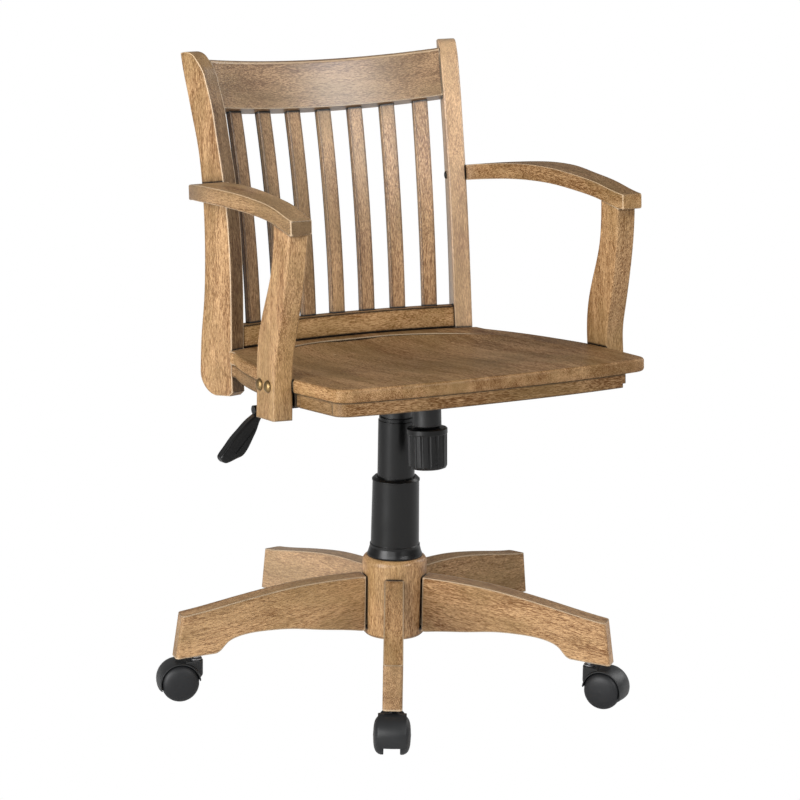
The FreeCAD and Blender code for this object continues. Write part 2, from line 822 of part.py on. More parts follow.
# black bolts: through each back post into the armrest, and from behind each back post into the seat
frame_bolts = []
stile_bores = {RIGHT: [], LEFT: []}
arm_bores = {RIGHT: [], LEFT: []}
seat_bores = []
strip_bores = []
head_room = val("frame_bolt_head_radius") + 0.4
shank = val("frame_bolt_shank_radius")
ARM_BOLT_HEIGHT = 229
ARM_BOLT_REACH = 34
for side, word in SIDES:
    frame = stile_frame(side)
    width = val("stile_width")
    origin = V(-side * width, ARM_BOLT_REACH, ARM_BOLT_HEIGHT)
    bolt_frame = facing(origin, V(-side, 0, 0), frame)
    name = "arm_bolt_%s" % word
    length = width + 15
    frame_bolts.append(bolt_body(name, bolt_frame, val("frame_bolt_head_radius"), val("frame_bolt_head_height"),
                                 shank, length))
    for store, tag in ((stile_bores, "post"), (arm_bores, "arm")):
        store[side].append(rod("%s_%s_bore" % (name, tag), bolt_frame.multiply(place(0, 0, -length - 0.5)),
                               shank + val("bore_clearance"), length + 0.5))
    reach = val("stile_foot_width") * 0.93
    for row, drop in enumerate((0.5, 1.5)):
        low = -val("slab_thickness") * drop
        origin = V(-side * width * 0.5, reach, low)
        bolt_frame = facing(origin, V(0, 1, 0), frame)
        name = "seat_bolt_%s_%d" % (word, row)
        length = reach + 22
        frame_bolts.append(bolt_body(name, bolt_frame, val("frame_bolt_head_radius"),
                                     val("frame_bolt_head_height"), shank, length))
        hole = bolt_frame.multiply(place(0, 0, -length - 0.5))
        stile_bores[side].append(rod(name + "_post_bore", hole, shank + val("bore_clearance"), length + 0.5))
        stile_bores[side].append(rod(name + "_sink", bolt_frame, head_room, 30))
        target = seat_bores if row == 0 else strip_bores
        target.append(rod(name + "_seat_bore", hole, shank + val("bore_clearance"), length + 0.5))

for side, word in SIDES:
    keep("back_post_%s" % word, cut("back_post_%s" % word, stiles[side],
                                    gathered("back_post_%s_bores" % word, stile_bores[side])))
    keep("armrest_%s" % word, cut("armrest_%s" % word, arms[side],
                                  gathered("armrest_%s_bores" % word, arm_bores[side])))
    soft, tools = arm_posts[side]
    under_arm = gathered("arm_post_%s_tools" % word, tools)
    housed = cut("arm_post_%s_housed" % word, soft, under_arm)
    keep("arm_post_%s" % word, cut("arm_post_%s" % word, housed, arm_arches[side]))

keep("arm_post_bolts", gathered("arm_post_bolts", post_bolts))
keep("frame_bolts", gathered("frame_bolts", frame_bolts))

# plate screws and their pilot holes
screws = []
SCREW_SPOTS = ((-0.8, -0.8), (0.8, -0.8), (-0.8, 0.72), (0.8, 0.72))
plate_low = -val("slab_thickness") - val("plate_thickness")
screw_bores = []
plate_bores = []
for number, (sx, sy) in enumerate(SCREW_SPOTS):
    spot = V(sx * val("plate_half_width"), sy * (val("plate_front") if sy < 0 else val("plate_rear")), plate_low)
    screw_frame = facing(spot, V(0, 0, -1), SEAT)
    name = "plate_screw_%d" % number
    screws.append(bolt_body(name, screw_frame, val("screw_head_radius"), 2.6, 2.5, val("screw_length")))
    hole = screw_frame.multiply(place(0, 0, -val("screw_length") - 0.5))
    screw_bores.append(rod(name + "_pilot", hole, 2.5 + val("bore_clearance"), val("screw_length") + 0.5))
    plate_bores.append(rod(name + "_hole", hole, 2.5 + val("bore_clearance"), val("screw_length") + 2))
keep("plate_screws", gathered("plate_screws", screws))

slab_tools = gathered("seat_slab_tools", seat_cutters + post_bolt_bores + seat_bores + screw_bores)
keep("seat_slab", cut("seat_slab", slab_body, slab_tools))

# build-up strips under the slab: one across the front, one down each side, one across the rear
strip_body = new_body("seat_strip_blank", SEAT)
strip_sketch = new_sketch(strip_body, "seat_strip_outline", "XY_Plane", -val("slab_thickness"),
                          "-%s" % size("slab_thickness"))
draw_seat(strip_sketch, val("strip_inset"))
new_pad(strip_body, "seat_strip_pad", strip_sketch, size("strip_thickness"), reverse=True)
well = new_sketch(strip_body, "seat_strip_well", "XY_Plane", -val("slab_thickness"), "-%s" % size("slab_thickness"))
well_half = val("seat_rear_half_width") - val("side_strip_width")
well_front = -val("seat_front_depth") + val("front_strip_depth")
well_rear = val("seat_rear_depth") - val("rear_strip_depth")
side_half = val("seat_half_width") - val("side_strip_width") - 6
left_half = val("left_strip_edge") - val("left_strip_width")
add_lines(well, [(-side_half, well_front), (left_half, well_front), (left_half, 0), (well_half, well_rear),
                 (-well_half, well_rear), (-side_half, 0)])
new_pocket(strip_body, "seat_strip_opening", well)
strip_cutters = [stile_space("strip_notch_%s" % w, s) for s, w in SIDES]
for side, word in SIDES:
    strip_cutters.append(post_room("strip_notch_post_%s" % word, side, half_post, front_edge - 0.3,
                                   rear_edge + 0.3, -80, 5))
    strip_cutters.append(post_room("strip_recess_%s" % word, side, half_post + 5, front_edge - 13, front_edge,
                                   -80, 5))
# the sitter's left edge is set well back under the slab, with a small step near its lower face
left_edge = val("left_strip_edge")
step_z = -val("slab_thickness") - val("strip_thickness") * 0.7
strip_cutters.append(block("strip_left_setback", SEAT, left_edge, REACH, -REACH, 100, -80, 5))
strip_cutters.append(block("strip_left_step", SEAT, left_edge - val("left_strip_step"), REACH, -REACH, 100, -80,
                           step_z))
strip_tools = gathered("seat_strip_tools", strip_cutters + strip_bores)
strip_all = cut("seat_strip_ring", strip_body, strip_tools)
seam = -val("seat_front_depth") + 42
low = -val("slab_thickness") - val("strip_thickness") - 1
front_zone = block("front_zone", SEAT, -REACH, REACH, -REACH, seam, low, 0)
front_strip = common("seat_front_strip", strip_all, front_zone)
keep("seat_front_strip", front_strip)
side_strips = []
for tag, x0, x1 in (("right", -REACH, -well_half), ("rear", -well_half, well_half), ("left", well_half, REACH)):
    zone = block("%s_zone" % tag, SEAT, x0, x1, seam, REACH, low, 0)
    side_strips.append(common("seat_strip_%s" % tag, strip_all, zone))
keep("seat_side_strips", gathered("seat_side_strips", side_strips))

# tilt plate: pressed steel top plate with two ears on the tilt axle
plate_body = new_body("tilt_plate_blank", SEAT)
plate_sketch = new_sketch(plate_body, "tilt_plate_outline", "XY_Plane", -val("slab_thickness"),
                          "-%s" % size("slab_thickness"))
add_box(plate_sketch, -val("plate_half_width"), val("plate_half_width"), -val("plate_front"), val("plate_rear"))
new_pad(plate_body, "tilt_plate_pad", plate_sketch, size("plate_thickness"), reverse=True)
ear_inner = val("housing_half_width") + 0.4
ear_outer = ear_inner + val("ear_thickness")
ear_low = -val("axle_drop") - 13
for side, word in SIDES:
    ear = new_sketch(plate_body, "tilt_plate_ear_%s" % word, "YZ_Plane", side * ear_inner)
    mid = -val("axle_forward")
    add_lines(ear, [(mid - 34, plate_low), (mid - 13, ear_low), (mid + 13, ear_low), (mid + 34, plate_low)])
    new_pad(plate_body, "tilt_plate_ear_pad_%s" % word, ear, size("ear_thickness"), reverse=(side == RIGHT))
hole = new_sketch(plate_body, "tilt_plate_hole", "YZ_Plane")
add_circle(hole, -val("axle_forward"), -val("axle_drop"), val("axle_radius") + val("running_clearance"),
           "%s + %s" % (size("axle_radius"), size("running_clearance")))
new_pocket(plate_body, "tilt_plate_bore", hole, "2 * %s" % size("plate_half_width"), middle=True)
doc.recompute()


def plate_corner(edge):
    ends = [SEAT.inverse().multVec(v.Point) for v in edge.Vertexes]
    return abs(ends[0].x - ends[-1].x) < FREE and abs(ends[0].y - ends[-1].y) < FREE \
        and abs(abs(ends[0].x) - val("plate_half_width")) < FREE


soft_plate = eased(plate_body, "tilt_plate_rounded", "crest_round", plate_corner)
keep("tilt_plate", cut("tilt_plate", soft_plate, gathered("tilt_plate_holes", plate_bores)))

# mechanism housing: pressed channel on the head of the gas cylinder
housing_body = new_body("mechanism_channel", SEAT)
housing_side = new_sketch(housing_body, "mechanism_side", "YZ_Plane")
floor = -val("housing_bottom_drop")
front = -val("housing_front")
rear = val("housing_rear")
cheek = -val("axle_drop") + 11
front_floor = floor + val("housing_step")
step_y = -val("axle_forward") - 20
ramp_y = step_y + 7
add_lines(housing_side, [(front, front_floor), (step_y, front_floor), (ramp_y, floor), (rear, floor),
                         (rear, floor + 18), (-8, floor + 30),
                         (-val("axle_forward") + 16, cheek), (-val("axle_forward") - 18, cheek),
                         (front, front_floor + 16)])
new_pad(housing_body, "mechanism_pad", housing_side, "2 * %s" % size("housing_half_width"), middle=True)
inside = new_sketch(housing_body, "mechanism_inside", "YZ_Plane")
wall = val("housing_wall")
add_lines(inside, [(front + wall, front_floor + wall), (step_y + 2, front_floor + wall), (ramp_y + 2, floor + wall),
                   (rear - wall, floor + wall), (rear - wall, 0), (front + wall, 0)])
new_pocket(housing_body, "mechanism_hollow", inside, "2 * %s - 2 * %s" % (size("housing_half_width"), size("housing_wall")),
           middle=True)
axle_hole = new_sketch(housing_body, "mechanism_axle_hole", "YZ_Plane")
add_circle(axle_hole, -val("axle_forward"), -val("axle_drop"), val("axle_radius") + FREE)
new_pocket(housing_body, "mechanism_axle_bore", axle_hole, "4 * %s" % size("housing_half_width"), middle=True)
boss = rod("mechanism_boss", place(0, 0, val("column_top")), val("boss_radius"), val("boss_height"))
lugs = []
lug_near = 7.05
for number, (a, b) in enumerate(((-lug_near - 3.5, -lug_near), (lug_near, lug_near + 3.5))):
    lugs.append(block("lever_lug_%d" % number, SEAT, -val("lever_pivot_out") - 8, -val("lever_pivot_out") + 8,
                      val("lever_setback") + a, val("lever_setback") + b, floor + 1, -val("lever_drop") + 7))
housing_solid = doc.addObject("Part::MultiFuse", "mechanism_joined")
housing_solid.Shapes = [housing_body, boss] + lugs
column_bore = rod("mechanism_column_bore", place(0, 0, val("column_top") - 1),
                  val("cylinder_radius") + FREE, val("boss_height") + 60)
lever_window = rod("mechanism_lever_window",
                   facing(V(-60, val("lever_setback"), -val("lever_drop")), V(1, 0, 0), SEAT), 10, 20)
knob_window = rod("mechanism_knob_window", SEAT.multiply(place(0, -val("knob_forward"), front_floor - 1)),
                  val("knob_boss_radius") + 2, 10)
lug_frame = SEAT.multiply(FreeCAD.Placement(V(-val("lever_pivot_out"), val("lever_setback"), -val("lever_drop")),
                                            FreeCAD.Rotation(Z_AXIS, V(0, 1, 0))))
lug_bore = rod("lever_lug_bore", lug_frame.multiply(place(0, 0, -lug_near - 10)), val("lever_pin_radius") + FREE,
               2 * lug_near + 20)
housing_tools = gathered("mechanism_tools", [column_bore, lever_window, knob_window, lug_bore])
keep("mechanism_housing", cut("mechanism_housing", housing_solid, housing_tools))

axle = new_body("tilt_axle", facing(V(0, -val("axle_forward"), -val("axle_drop")), V(1, 0, 0), SEAT))
axle_sketch = new_sketch(axle, "tilt_axle_section", "XY_Plane")
add_circle(axle_sketch, 0, 0, val("axle_radius"), size("axle_radius"))
new_pad(axle, "tilt_axle_pad", axle_sketch, "2 * %s + 20" % size("housing_half_width"), middle=True)
lever_pin = rod("lever_pin", lug_frame.multiply(place(0, 0, -lug_near - 3.4)), val("lever_pin_radius"),
                2 * lug_near + 6.8)
keep("mechanism_pins", gathered("mechanism_pins", [axle, lever_pin]))

# tension cup and fluted knob in front of the column
knob_frame = SEAT.multiply(place(0, -val("knob_forward"), front_floor))
cup_r = val("cup_radius")
cup_h = val("cup_height")
boss_r = val("knob_boss_radius")
keep("tension_cup", turned_body("tension_cup", knob_frame, [
    (cup_r - 3, 0), (cup_r, 0), (cup_r, -cup_h + 2), (cup_r - 2, -cup_h), (boss_r + val("running_clearance"), -cup_h),
    (boss_r + val("running_clearance"), -cup_h + 3), (cup_r - 3, -cup_h + 3)]))
knob_r = val("knob_radius")
knob_top = -cup_h - 1
knob_low = knob_top - val("knob_height")
knob = turned_body("tension_knob", knob_frame, [
    (0, knob_low), (knob_r - 7, knob_low), (knob_r - 3, knob_low + 1.5), (knob_r - 1.4, knob_low + 5),
    (knob_r - 0.6, knob_top - 9), (knob_r, knob_top - 8), (knob_r, knob_top - 1.5), (knob_r - 1.5, knob_top),
    (boss_r, knob_top), (boss_r, -cup_h + 3.1), (boss_r + 4, -cup_h + 3.1), (boss_r + 4, -cup_h + 6),
    (boss_r, -cup_h + 6), (boss_r, -4), (0, -4)])
flute = new_sketch(knob, "tension_knob_flute", "XY_Plane", knob_low - 1)
add_circle(flute, knob_r + 0.9, 0, 3.1)
flute_cut = new_pocket(knob, "tension_knob_groove", flute, "%s - 8" % size("knob_height"), reverse=True)
doc.recompute()
flutes = knob.newObject("PartDesign::PolarPattern", "tension_knob_flutes")
flutes.Originals = [flute_cut]
flutes.Axis = (flute, ["N_Axis"])
flutes.Angle = 360
flutes.Occurrences = 16
knob.Tip = flutes
keep("tension_knob", knob)

# pneumatic lever: round rod with a cross barrel at the pivot, and a drooping flat paddle
lever_base = SEAT.multiply(place(0, val("lever_setback"), -val("lever_drop")))
rod_frame = lever_base.multiply(FreeCAD.Placement(V(-val("lever_pivot_out"), 0, 0),
                                                  FreeCAD.Rotation(Z_AXIS, V(-1, 0, 0))))
reach = val("lever_reach") - val("lever_pivot_out")
shaft = rod("lever_shaft", rod_frame, val("lever_rod_radius"), reach)
barrel_frame = lever_base.multiply(FreeCAD.Placement(V(-val("lever_pivot_out"), 7, 0),
                                                     FreeCAD.Rotation(Z_AXIS, V(0, -1, 0))))
barrel = rod("lever_barrel", barrel_frame, 6, 14)
lever_rod = doc.addObject("Part::Fuse", "lever_rod_joined")
lever_rod.Base = shaft
lever_rod.Tool = barrel
pin_bore = rod("lever_barrel_bore", lug_frame.multiply(place(0, 0, -lug_near - 1)),
               val("lever_pin_radius") + val("running_clearance"), 2 * lug_near + 2)
keep("lever_rod", cut("lever_rod", lever_rod, pin_bore))
paddle_start = -val("lever_reach") + 12
# (share of the reach outward, share of the drop) round the blade, upper edge first
PADDLE_UPPER = ((0.0, -0.04), (0.222, 0.103), (0.39, 0.217), (0.549, 0.363), (0.706, 0.51), (0.865, 0.696),
                (0.965, 0.812), (0.997, 0.872), (0.978, 0.942), (0.86, 1.0))
PADDLE_LOWER = ((0.86, 1.0), (0.771, 0.975), (0.639, 0.928), (0.528, 0.889), (0.449, 0.817), (0.368, 0.703),
                (0.275, 0.539), (0.193, 0.386), (0.133, 0.239), (0.0, 0.085))
PADDLE_GROOVE = ((0.30, 0.28), (0.75, 0.75), (0.67, 0.83), (0.24, 0.38))


def paddle_points(table):
    return [(paddle_start - val("paddle_reach") * u, -val("paddle_drop") * v) for u, v in table]


paddle_body = new_body("lever_paddle_blank", lever_base)
paddle_sketch = new_sketch(paddle_body, "lever_paddle_side", "XZ_Plane")
upper = paddle_points(PADDLE_UPPER)
lower = paddle_points(PADDLE_LOWER)
add_curve(paddle_sketch, upper)
add_curve(paddle_sketch, lower)
add_lines(paddle_sketch, [lower[-1], upper[0]], closed=False)
new_pad(paddle_body, "lever_paddle_pad", paddle_sketch, size("paddle_thickness"), middle=True)


def paddle_rim(edge):
    return edge.Length > 60


body_fillet(paddle_body, "lever_paddle_rim", "paddle_round", paddle_rim)
groove = new_sketch(paddle_body, "lever_paddle_groove", "XZ_Plane", val("paddle_thickness") / 2 - 1.5)
add_lines(groove, paddle_points(PADDLE_GROOVE))
new_pocket(paddle_body, "lever_paddle_grip", groove, "10 mm", reverse=True)
neck = rod("lever_paddle_neck", lever_base.multiply(FreeCAD.Placement(V(-val("lever_reach") + 16, 0, 0),
                                                                      FreeCAD.Rotation(Z_AXIS, V(-1, 0, 0)))),
           val("lever_rod_radius") + 2.5, 20)
paddle_full = doc.addObject("Part::Fuse", "lever_paddle_full")
paddle_full.Base = paddle_body
paddle_full.Tool = neck
socket_bore = rod("lever_paddle_bore", rod_frame, val("lever_rod_radius") + FREE, reach + 0.3)
keep("lever_paddle", cut("lever_paddle", paddle_full, socket_bore))

# gas lift
world = place()
tube_r = val("tube_radius")
guide = val("cylinder_radius") + val("running_clearance")
low = val("tube_bottom")
high = val("tube_top")
keep("gas_tube", turned_body("gas_tube", world, [
    (0, low), (tube_r - 1, low), (tube_r, low + 4), (tube_r, high - 1), (tube_r - 1, high), (guide, high),
    (guide, high - 30), (tube_r - 2.5, high - 30), (tube_r - 2.5, low + 4), (0, low + 4)]))
cyl = val("cylinder_radius")
bottom = val("cylinder_bottom")
head = val("cylinder_top")
wire = val("piston_rod_radius")
keep("gas_cylinder", turned_body("gas_cylinder", world, [
    (wire + val("running_clearance"), bottom), (cyl, bottom), (cyl, head - 4), (cyl - 3, head), (5, head),
    (5, head + 6), (0, head + 6), (0, head - 60), (cyl - 3, head - 60), (cyl - 3, bottom + 7),
    (wire + val("running_clearance"), bottom + 7)]))
keep("piston_rod", turned_body("piston_rod", world, [
    (0, low + 4.05), (18, low + 4.05), (18, low + 8), (wire, low + 9), (wire, bottom + 10),
    (cyl - 3 - val("running_clearance"), bottom + 10), (cyl - 3 - val("running_clearance"), bottom + 22),
    (0, bottom + 22)]))

# telescoping column cover
up_r = val("cover_upper_radius")
wall = val("cover_wall")
keep("cover_upper", turned_body("cover_upper", world, [
    (up_r - wall, val("cover_upper_bottom")), (up_r, val("cover_upper_bottom")), (up_r, val("column_top") - 5.2),
    (up_r - 1.2, val("column_top") - 5.2), (up_r - 1.2, val("column_top")), (cyl + 1, val("column_top")),
    (cyl + 1, val("column_top") - 2), (up_r - wall - 1.2, val("column_top") - 2),
    (up_r - wall - 1.2, val("column_top") - 8), (up_r - wall, val("column_top") - 9)]))
out_r = val("cover_lower_radius")
flare = val("cover_flare_radius")
base = val("hub_top")
lid = val("cover_lower_top")
mouth = up_r + 0.4
keep("cover_lower", turned_body("cover_lower", world, [
    (flare - 3, base), (flare, base), (flare, base + 2), (flare - 1.5, base + 6), (out_r + 1.7, base + 13),
    (out_r + 1.6, base + 16.5), (out_r + 0.3, base + 17.5), (out_r - 1.0, lid - 5.5), (out_r - 0.2, lid - 5.5),
    (out_r - 0.2, lid - 3.4), (out_r - 3.6, lid), (mouth, lid), (mouth, lid - 4), (out_r - 3, lid - 6),
    (out_r - 2, base + 15), (flare - 3, base + 6)]))

# turned hub with five mortises for the leg tenons and a bore for the gas tube
hub_r = val("hub_radius")
hub_f = val("hub_foot_radius")
hub_lo = val("hub_bottom")
turn = val("hub_round")
bore = tube_r + 0.05
hub = new_body("hub_block", world)
hub_sketch = new_sketch(hub, "hub_outline", "XZ_Plane")
add_lines(hub_sketch, [(hub_r - turn, base), (bore, base), (bore, hub_lo), (hub_f - 3, hub_lo), (hub_f, hub_lo + 3),
                       (hub_r - 1, hub_lo + 30), (hub_r, base - turn)], closed=False)
add_curve(hub_sketch, [(hub_r, base - turn), (hub_r - turn * 0.29, base - turn * 0.29), (hub_r - turn, base)])
new_turning(hub, "hub_turning", hub_sketch)
housings = []
LEGS = 5
side_free = 0.1
tenon_half = val("leg_tenon") / 2
tenon_low = val("leg_root_bottom") + 8
tenon_high = val("leg_root_top") - 8
for index in range(LEGS):
    housings.append(block("leg_housing_%d" % index, leg_frame(index), val("leg_root_radius"), hub_r + 20,
                          -tenon_half - side_free, tenon_half + side_free, tenon_low, tenon_high))
keep("hub", cut("hub", hub, gathered("leg_housings", housings)))

# legs: arched planks with a foot pad over the caster
# (share of the run from root to tip, height share)
LEG_TOP = ((0.06, 1.0), (0.21, 0.95), (0.39, 0.83), (0.56, 0.63), (0.73, 0.385), (0.89, 0.14), (1.0, 0.0))
caster_r = val("leg_toe_radius") - val("caster_inset")
LEG_LABELS = ("leg_front", "leg_right", "leg_rear_right", "leg_rear_left", "leg_left")


def make_leg(index, label):
    frame = leg_frame(index)
    root = val("leg_root_radius")
    toe = val("leg_toe_radius")
    tip = toe - val("leg_tip_slant")
    shoulder = hub_r + val("leg_shoulder_gap")
    high = val("leg_root_top")
    tip_z = val("leg_tip_top")
    low = val("leg_root_bottom")
    floor_z = val("leg_toe_bottom")
    run = tip - root
    top = [(root + run * along, tip_z + (high - tip_z) * rise) for along, rise in LEG_TOP]
    pad_inner = root + run * 0.825
    pad_z = floor_z + 4.5
    arch = [(pad_inner, pad_z), (root + run * 0.80, pad_z + 4), (root + run * 0.765, pad_z + 15),
            (root + run * 0.715, pad_z + 22.5), (root + run * 0.64, pad_z + 27), (root + run * 0.55, pad_z + 28.6),
            (root + run * 0.42, pad_z + 28), (root + run * 0.28, low + 6.6), (root + run * 0.15, low + 3.2),
            (root + run * 0.06, low)]
    body = new_body(label + "_plank", frame)
    sketch = new_sketch(body, label + "_side", "XZ_Plane")
    add_lines(sketch, [(shoulder, low), (shoulder, high), top[0]], closed=False)
    add_curve(sketch, top)
    add_lines(sketch, [top[-1], (toe, floor_z), (pad_inner, pad_z)], closed=False)
    add_curve(sketch, arch)
    add_lines(sketch, [arch[-1], (shoulder, low)], closed=False)
    new_pad(body, label + "_pad", sketch, size("leg_thickness"), middle=True)
    doc.recompute()

    def tip_corner(edge):
        ends = [frame.inverse().multVec(v.Point) for v in edge.Vertexes]
        return min(e.x for e in ends) > tip - 1 and abs(ends[0].z - ends[-1].z) > 20

    soft = eased(body, label + "_tipped", "leg_corner", tip_corner)
    tenon = block(label + "_tenon", frame, root, shoulder + 1, -tenon_half, tenon_half, tenon_low, tenon_high)
    whole = doc.addObject("Part::Fuse", label + "_whole")
    whole.Base = soft
    whole.Tool = tenon
    stem_frame = frame.multiply(place(caster_r, 0, 0))
    tools = [rod(label + "_socket_bore", stem_frame.multiply(place(0, 0, val("caster_seat_height") - 5)),
                 val("socket_radius") + 0.05, 45),
             rod(label + "_spot_face", stem_frame.multiply(place(0, 0, val("caster_seat_height") - 12)),
                 val("socket_flange_radius") + 0.4, 12)]
    keep(label, cut(label, whole, gathered(label + "_bores", tools)))


sockets = []
for index, label in enumerate(LEG_LABELS):
    make_leg(index, label)
    stem_frame = leg_frame(index).multiply(place(caster_r, 0, 0))
    seat_z = val("caster_seat_height")
    inner = val("stem_radius") + val("running_clearance")
    sockets.append(turned_body("caster_socket_%d" % (index + 1), stem_frame, [
        (inner, seat_z - 1.6), (val("socket_flange_radius"), seat_z - 1.6), (val("socket_flange_radius"), seat_z),
        (val("socket_radius"), seat_z), (val("socket_radius"), seat_z + 37), (inner, seat_z + 37)]))
keep("caster_sockets", gathered("caster_sockets", sockets))

# twin-wheel casters, X along the trail
YAWS = ("yaw_front", "yaw_right", "yaw_rear_right", "yaw_rear_left", "yaw_left")


def caster_frame(index):
    return leg_frame(index).multiply(place(caster_r, 0, 0, Z_AXIS, val(YAWS[index])))


def caster_neck(name, frame, low, high):
    # teardrop neck: round about the stem, widening toward the wheels
    reach = val("hood_neck_reach")
    back = val("caster_trail") * 0.68
    wide = val("hood_half_width") * 0.83
    swing = math.radians(98)
    body = new_body(name + "_neck", frame)
    sketch = new_sketch(body, name + "_neck_plan", "XY_Plane", low)
    arc = Part.ArcOfCircle(Part.Circle(V(0, 0, 0), Z_AXIS, reach), swing, 2 * math.pi - swing)
    sketch.addGeometry(arc, False)
    add_lines(sketch, [(arc.EndPoint.x, arc.EndPoint.y), (back, -wide), (back, wide),
                       (arc.StartPoint.x, arc.StartPoint.y)], closed=False)
    new_pad(body, name + "_neck_pad", sketch, "%s + %s - %s" % (size("wheel_radius"), size("hood_radius"), low))

    def upper_rim(edge):
        return min(v.Point.z for v in edge.Vertexes) > high - 0.1
    body_fillet(body, name + "_neck_round", "paddle_round", upper_rim)
    return body


def make_caster(index):
    name = "caster_%d" % (index + 1)
    frame = caster_frame(index)
    trail = val("caster_trail")
    wheel = val("wheel_radius")
    hood = val("hood_radius")
    top = wheel + hood
    neck = -val("hood_neck_reach")
    web = val("hood_web_half_width")
    rim = wheel + val("wheel_gap")
    body = new_body(name + "_hood_shell", frame)
    sketch = new_sketch(body, name + "_hood_side", "XZ_Plane")
    start = math.radians(-19.5)
    finish = math.radians(90)
    arc = Part.ArcOfCircle(Part.Circle(V(trail, wheel, 0), Z_AXIS, hood), start, finish)
    inner_end = (trail + rim * math.cos(start), wheel + rim * math.sin(start))
    sketch.addGeometry(arc, False)
    first = (arc.EndPoint.x, arc.EndPoint.y)
    last = (arc.StartPoint.x, arc.StartPoint.y)
    add_lines(sketch, [first, (neck, top), (neck, wheel + 9), (neck + 8.5, wheel + 2), (trail - 14, wheel - 12),
                       (trail, wheel - 16), (trail + 19, wheel - 14), inner_end, last], closed=False)
    new_pad(body, name + "_hood_pad", sketch, "2 * %s" % size("hood_half_width"), middle=True)
    for tag, sign in (("a", -1), ("b", 1)):
        recess = new_sketch(body, name + "_recess_" + tag, "XZ_Plane", sign * web)
        add_circle(recess, trail, wheel, rim)
        # the recess opens outward from the web
        new_pocket(body, name + "_recess_cut_" + tag, recess, size("hood_half_width"), reverse=(sign > 0))
    pin = new_sketch(body, name + "_pin_hole", "XZ_Plane")
    add_circle(pin, trail, wheel, val("axle_pin_radius") + FREE)
    new_pocket(body, name + "_pin_bore", pin, "4 * %s" % size("hood_half_width"), middle=True)
    stem_hole = new_sketch(body, name + "_stem_hole", "XY_Plane", top)
    add_circle(stem_hole, 0, 0, val("stem_radius") + FREE)
    new_pocket(body, name + "_stem_bore", stem_hole, "%s + %s - 34" % (size("wheel_radius"), size("hood_radius")))
    # crowned barrel about the wheel axle
    half = val("hood_half_width")
    barrel = new_body(name + "_barrel", frame.multiply(FreeCAD.Placement(V(trail, 0, wheel),
                                                                         FreeCAD.Rotation(X_AXIS, 90))))
    crown = new_sketch(barrel, name + "_barrel_half", "XZ_Plane")
    add_lines(crown, [(hood - 1.7, half), (0, half), (0, -half), (hood - 1.7, -half)], closed=False)
    add_curve(crown, [(hood - 1.7, -half), (hood - 0.5, -half * 0.6), (hood, 0), (hood - 0.5, half * 0.6),
                      (hood - 1.7, half)])
    new_turning(barrel, name + "_barrel_turning", crown)
    envelope = doc.addObject("Part::Fuse", name + "_envelope")
    envelope.Base = barrel
    envelope.Tool = caster_neck(name, frame, 5, top)
    keep(name + "_hood", common(name + "_hood", body, envelope))
    stem_r = val("stem_radius")
    stem = turned_body(name + "_stem", frame, [
        (0, 34.2), (stem_r, 34.2), (stem_r, top), (stem_r + 3.5, top), (stem_r + 3.5, top + 1.6),
        (stem_r, top + 2.4), (stem_r, val("stem_top") - 1), (stem_r - 1, val("stem_top")), (0, val("stem_top"))])
    pin_body = new_body(name + "_axle", frame.multiply(FreeCAD.Placement(V(trail, 0, wheel),
                                                                         FreeCAD.Rotation(X_AXIS, 90))))
    pin_sketch = new_sketch(pin_body, name + "_axle_section", "XY_Plane")
    add_circle(pin_sketch, 0, 0, val("axle_pin_radius"), size("axle_pin_radius"))
    new_pad(pin_body, name + "_axle_pad", pin_sketch, "2 * %s - 8" % size("wheel_outer_offset"), middle=True)
    keep(name + "_steel", gathered(name + "_steel", [stem, pin_body]))
    inner = val("wheel_inner_offset")
    tread = val("wheel_tread_offset")
    outer = val("wheel_outer_offset")
    pin_r = val("axle_pin_radius") + val("running_clearance")
    for tag, sign in (("a", -1), ("b", 1)):
        wheel_frame = frame.multiply(FreeCAD.Placement(V(trail, 0, wheel), FreeCAD.Rotation(X_AXIS, -90 * sign)))
        body = new_body("%s_wheel_%s" % (name, tag), wheel_frame)
        sketch = new_sketch(body, "%s_wheel_%s_half" % (name, tag), "XZ_Plane")
        add_lines(sketch, [(0, outer), (0, outer - 3), (pin_r, outer - 3), (pin_r, inner), (wheel - 1, inner),
                           (wheel, inner + 1), (wheel, tread)], closed=False)
        add_curve(sketch, [(wheel, tread), (wheel - 0.9, tread + 3), (wheel - 2.5, tread + 5.5),
                           (wheel * 0.62, outer - 1.7), (0, outer)])
        new_turning(body, "%s_wheel_%s_turning" % (name, tag), sketch)
        keep("%s_wheel_%s" % (name, tag), body)


for index in range(LEGS):
    make_caster(index)

doc.recompute()

# every object is checked before anything is written
for obj in doc.Objects:
    state = [str(s) for s in obj.State]
    if "Invalid" in state or "Error" in state:
        raise RuntimeError("%s is %s" % (obj.Label, state))
for name, obj in nodes.items():
    shape = obj.Shape
    if shape.isNull() or not shape.isValid():
        raise RuntimeError("%s has no valid shape" % name)
    shape.exportStep("parts/%s.step" % name)
print("%d nodes written" % len(nodes))
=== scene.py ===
import math

import bpy
from mathutils import Matrix, Vector

# Looks of a wooden swivel armchair. Metres, +Z up, the chair faces -Y.

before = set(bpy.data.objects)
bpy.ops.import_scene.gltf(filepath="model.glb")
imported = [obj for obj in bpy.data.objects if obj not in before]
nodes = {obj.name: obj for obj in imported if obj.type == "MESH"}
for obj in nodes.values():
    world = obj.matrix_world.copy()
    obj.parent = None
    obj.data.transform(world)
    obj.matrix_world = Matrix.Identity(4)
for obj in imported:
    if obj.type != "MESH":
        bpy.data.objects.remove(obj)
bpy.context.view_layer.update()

# places of the axes in a split vector, and directions
X, Y, Z = 0, 1, 2
UP = Vector((0, 0, 1))
ACROSS = Vector((1, 0, 0))
DEPTH = Vector((0, 1, 0))

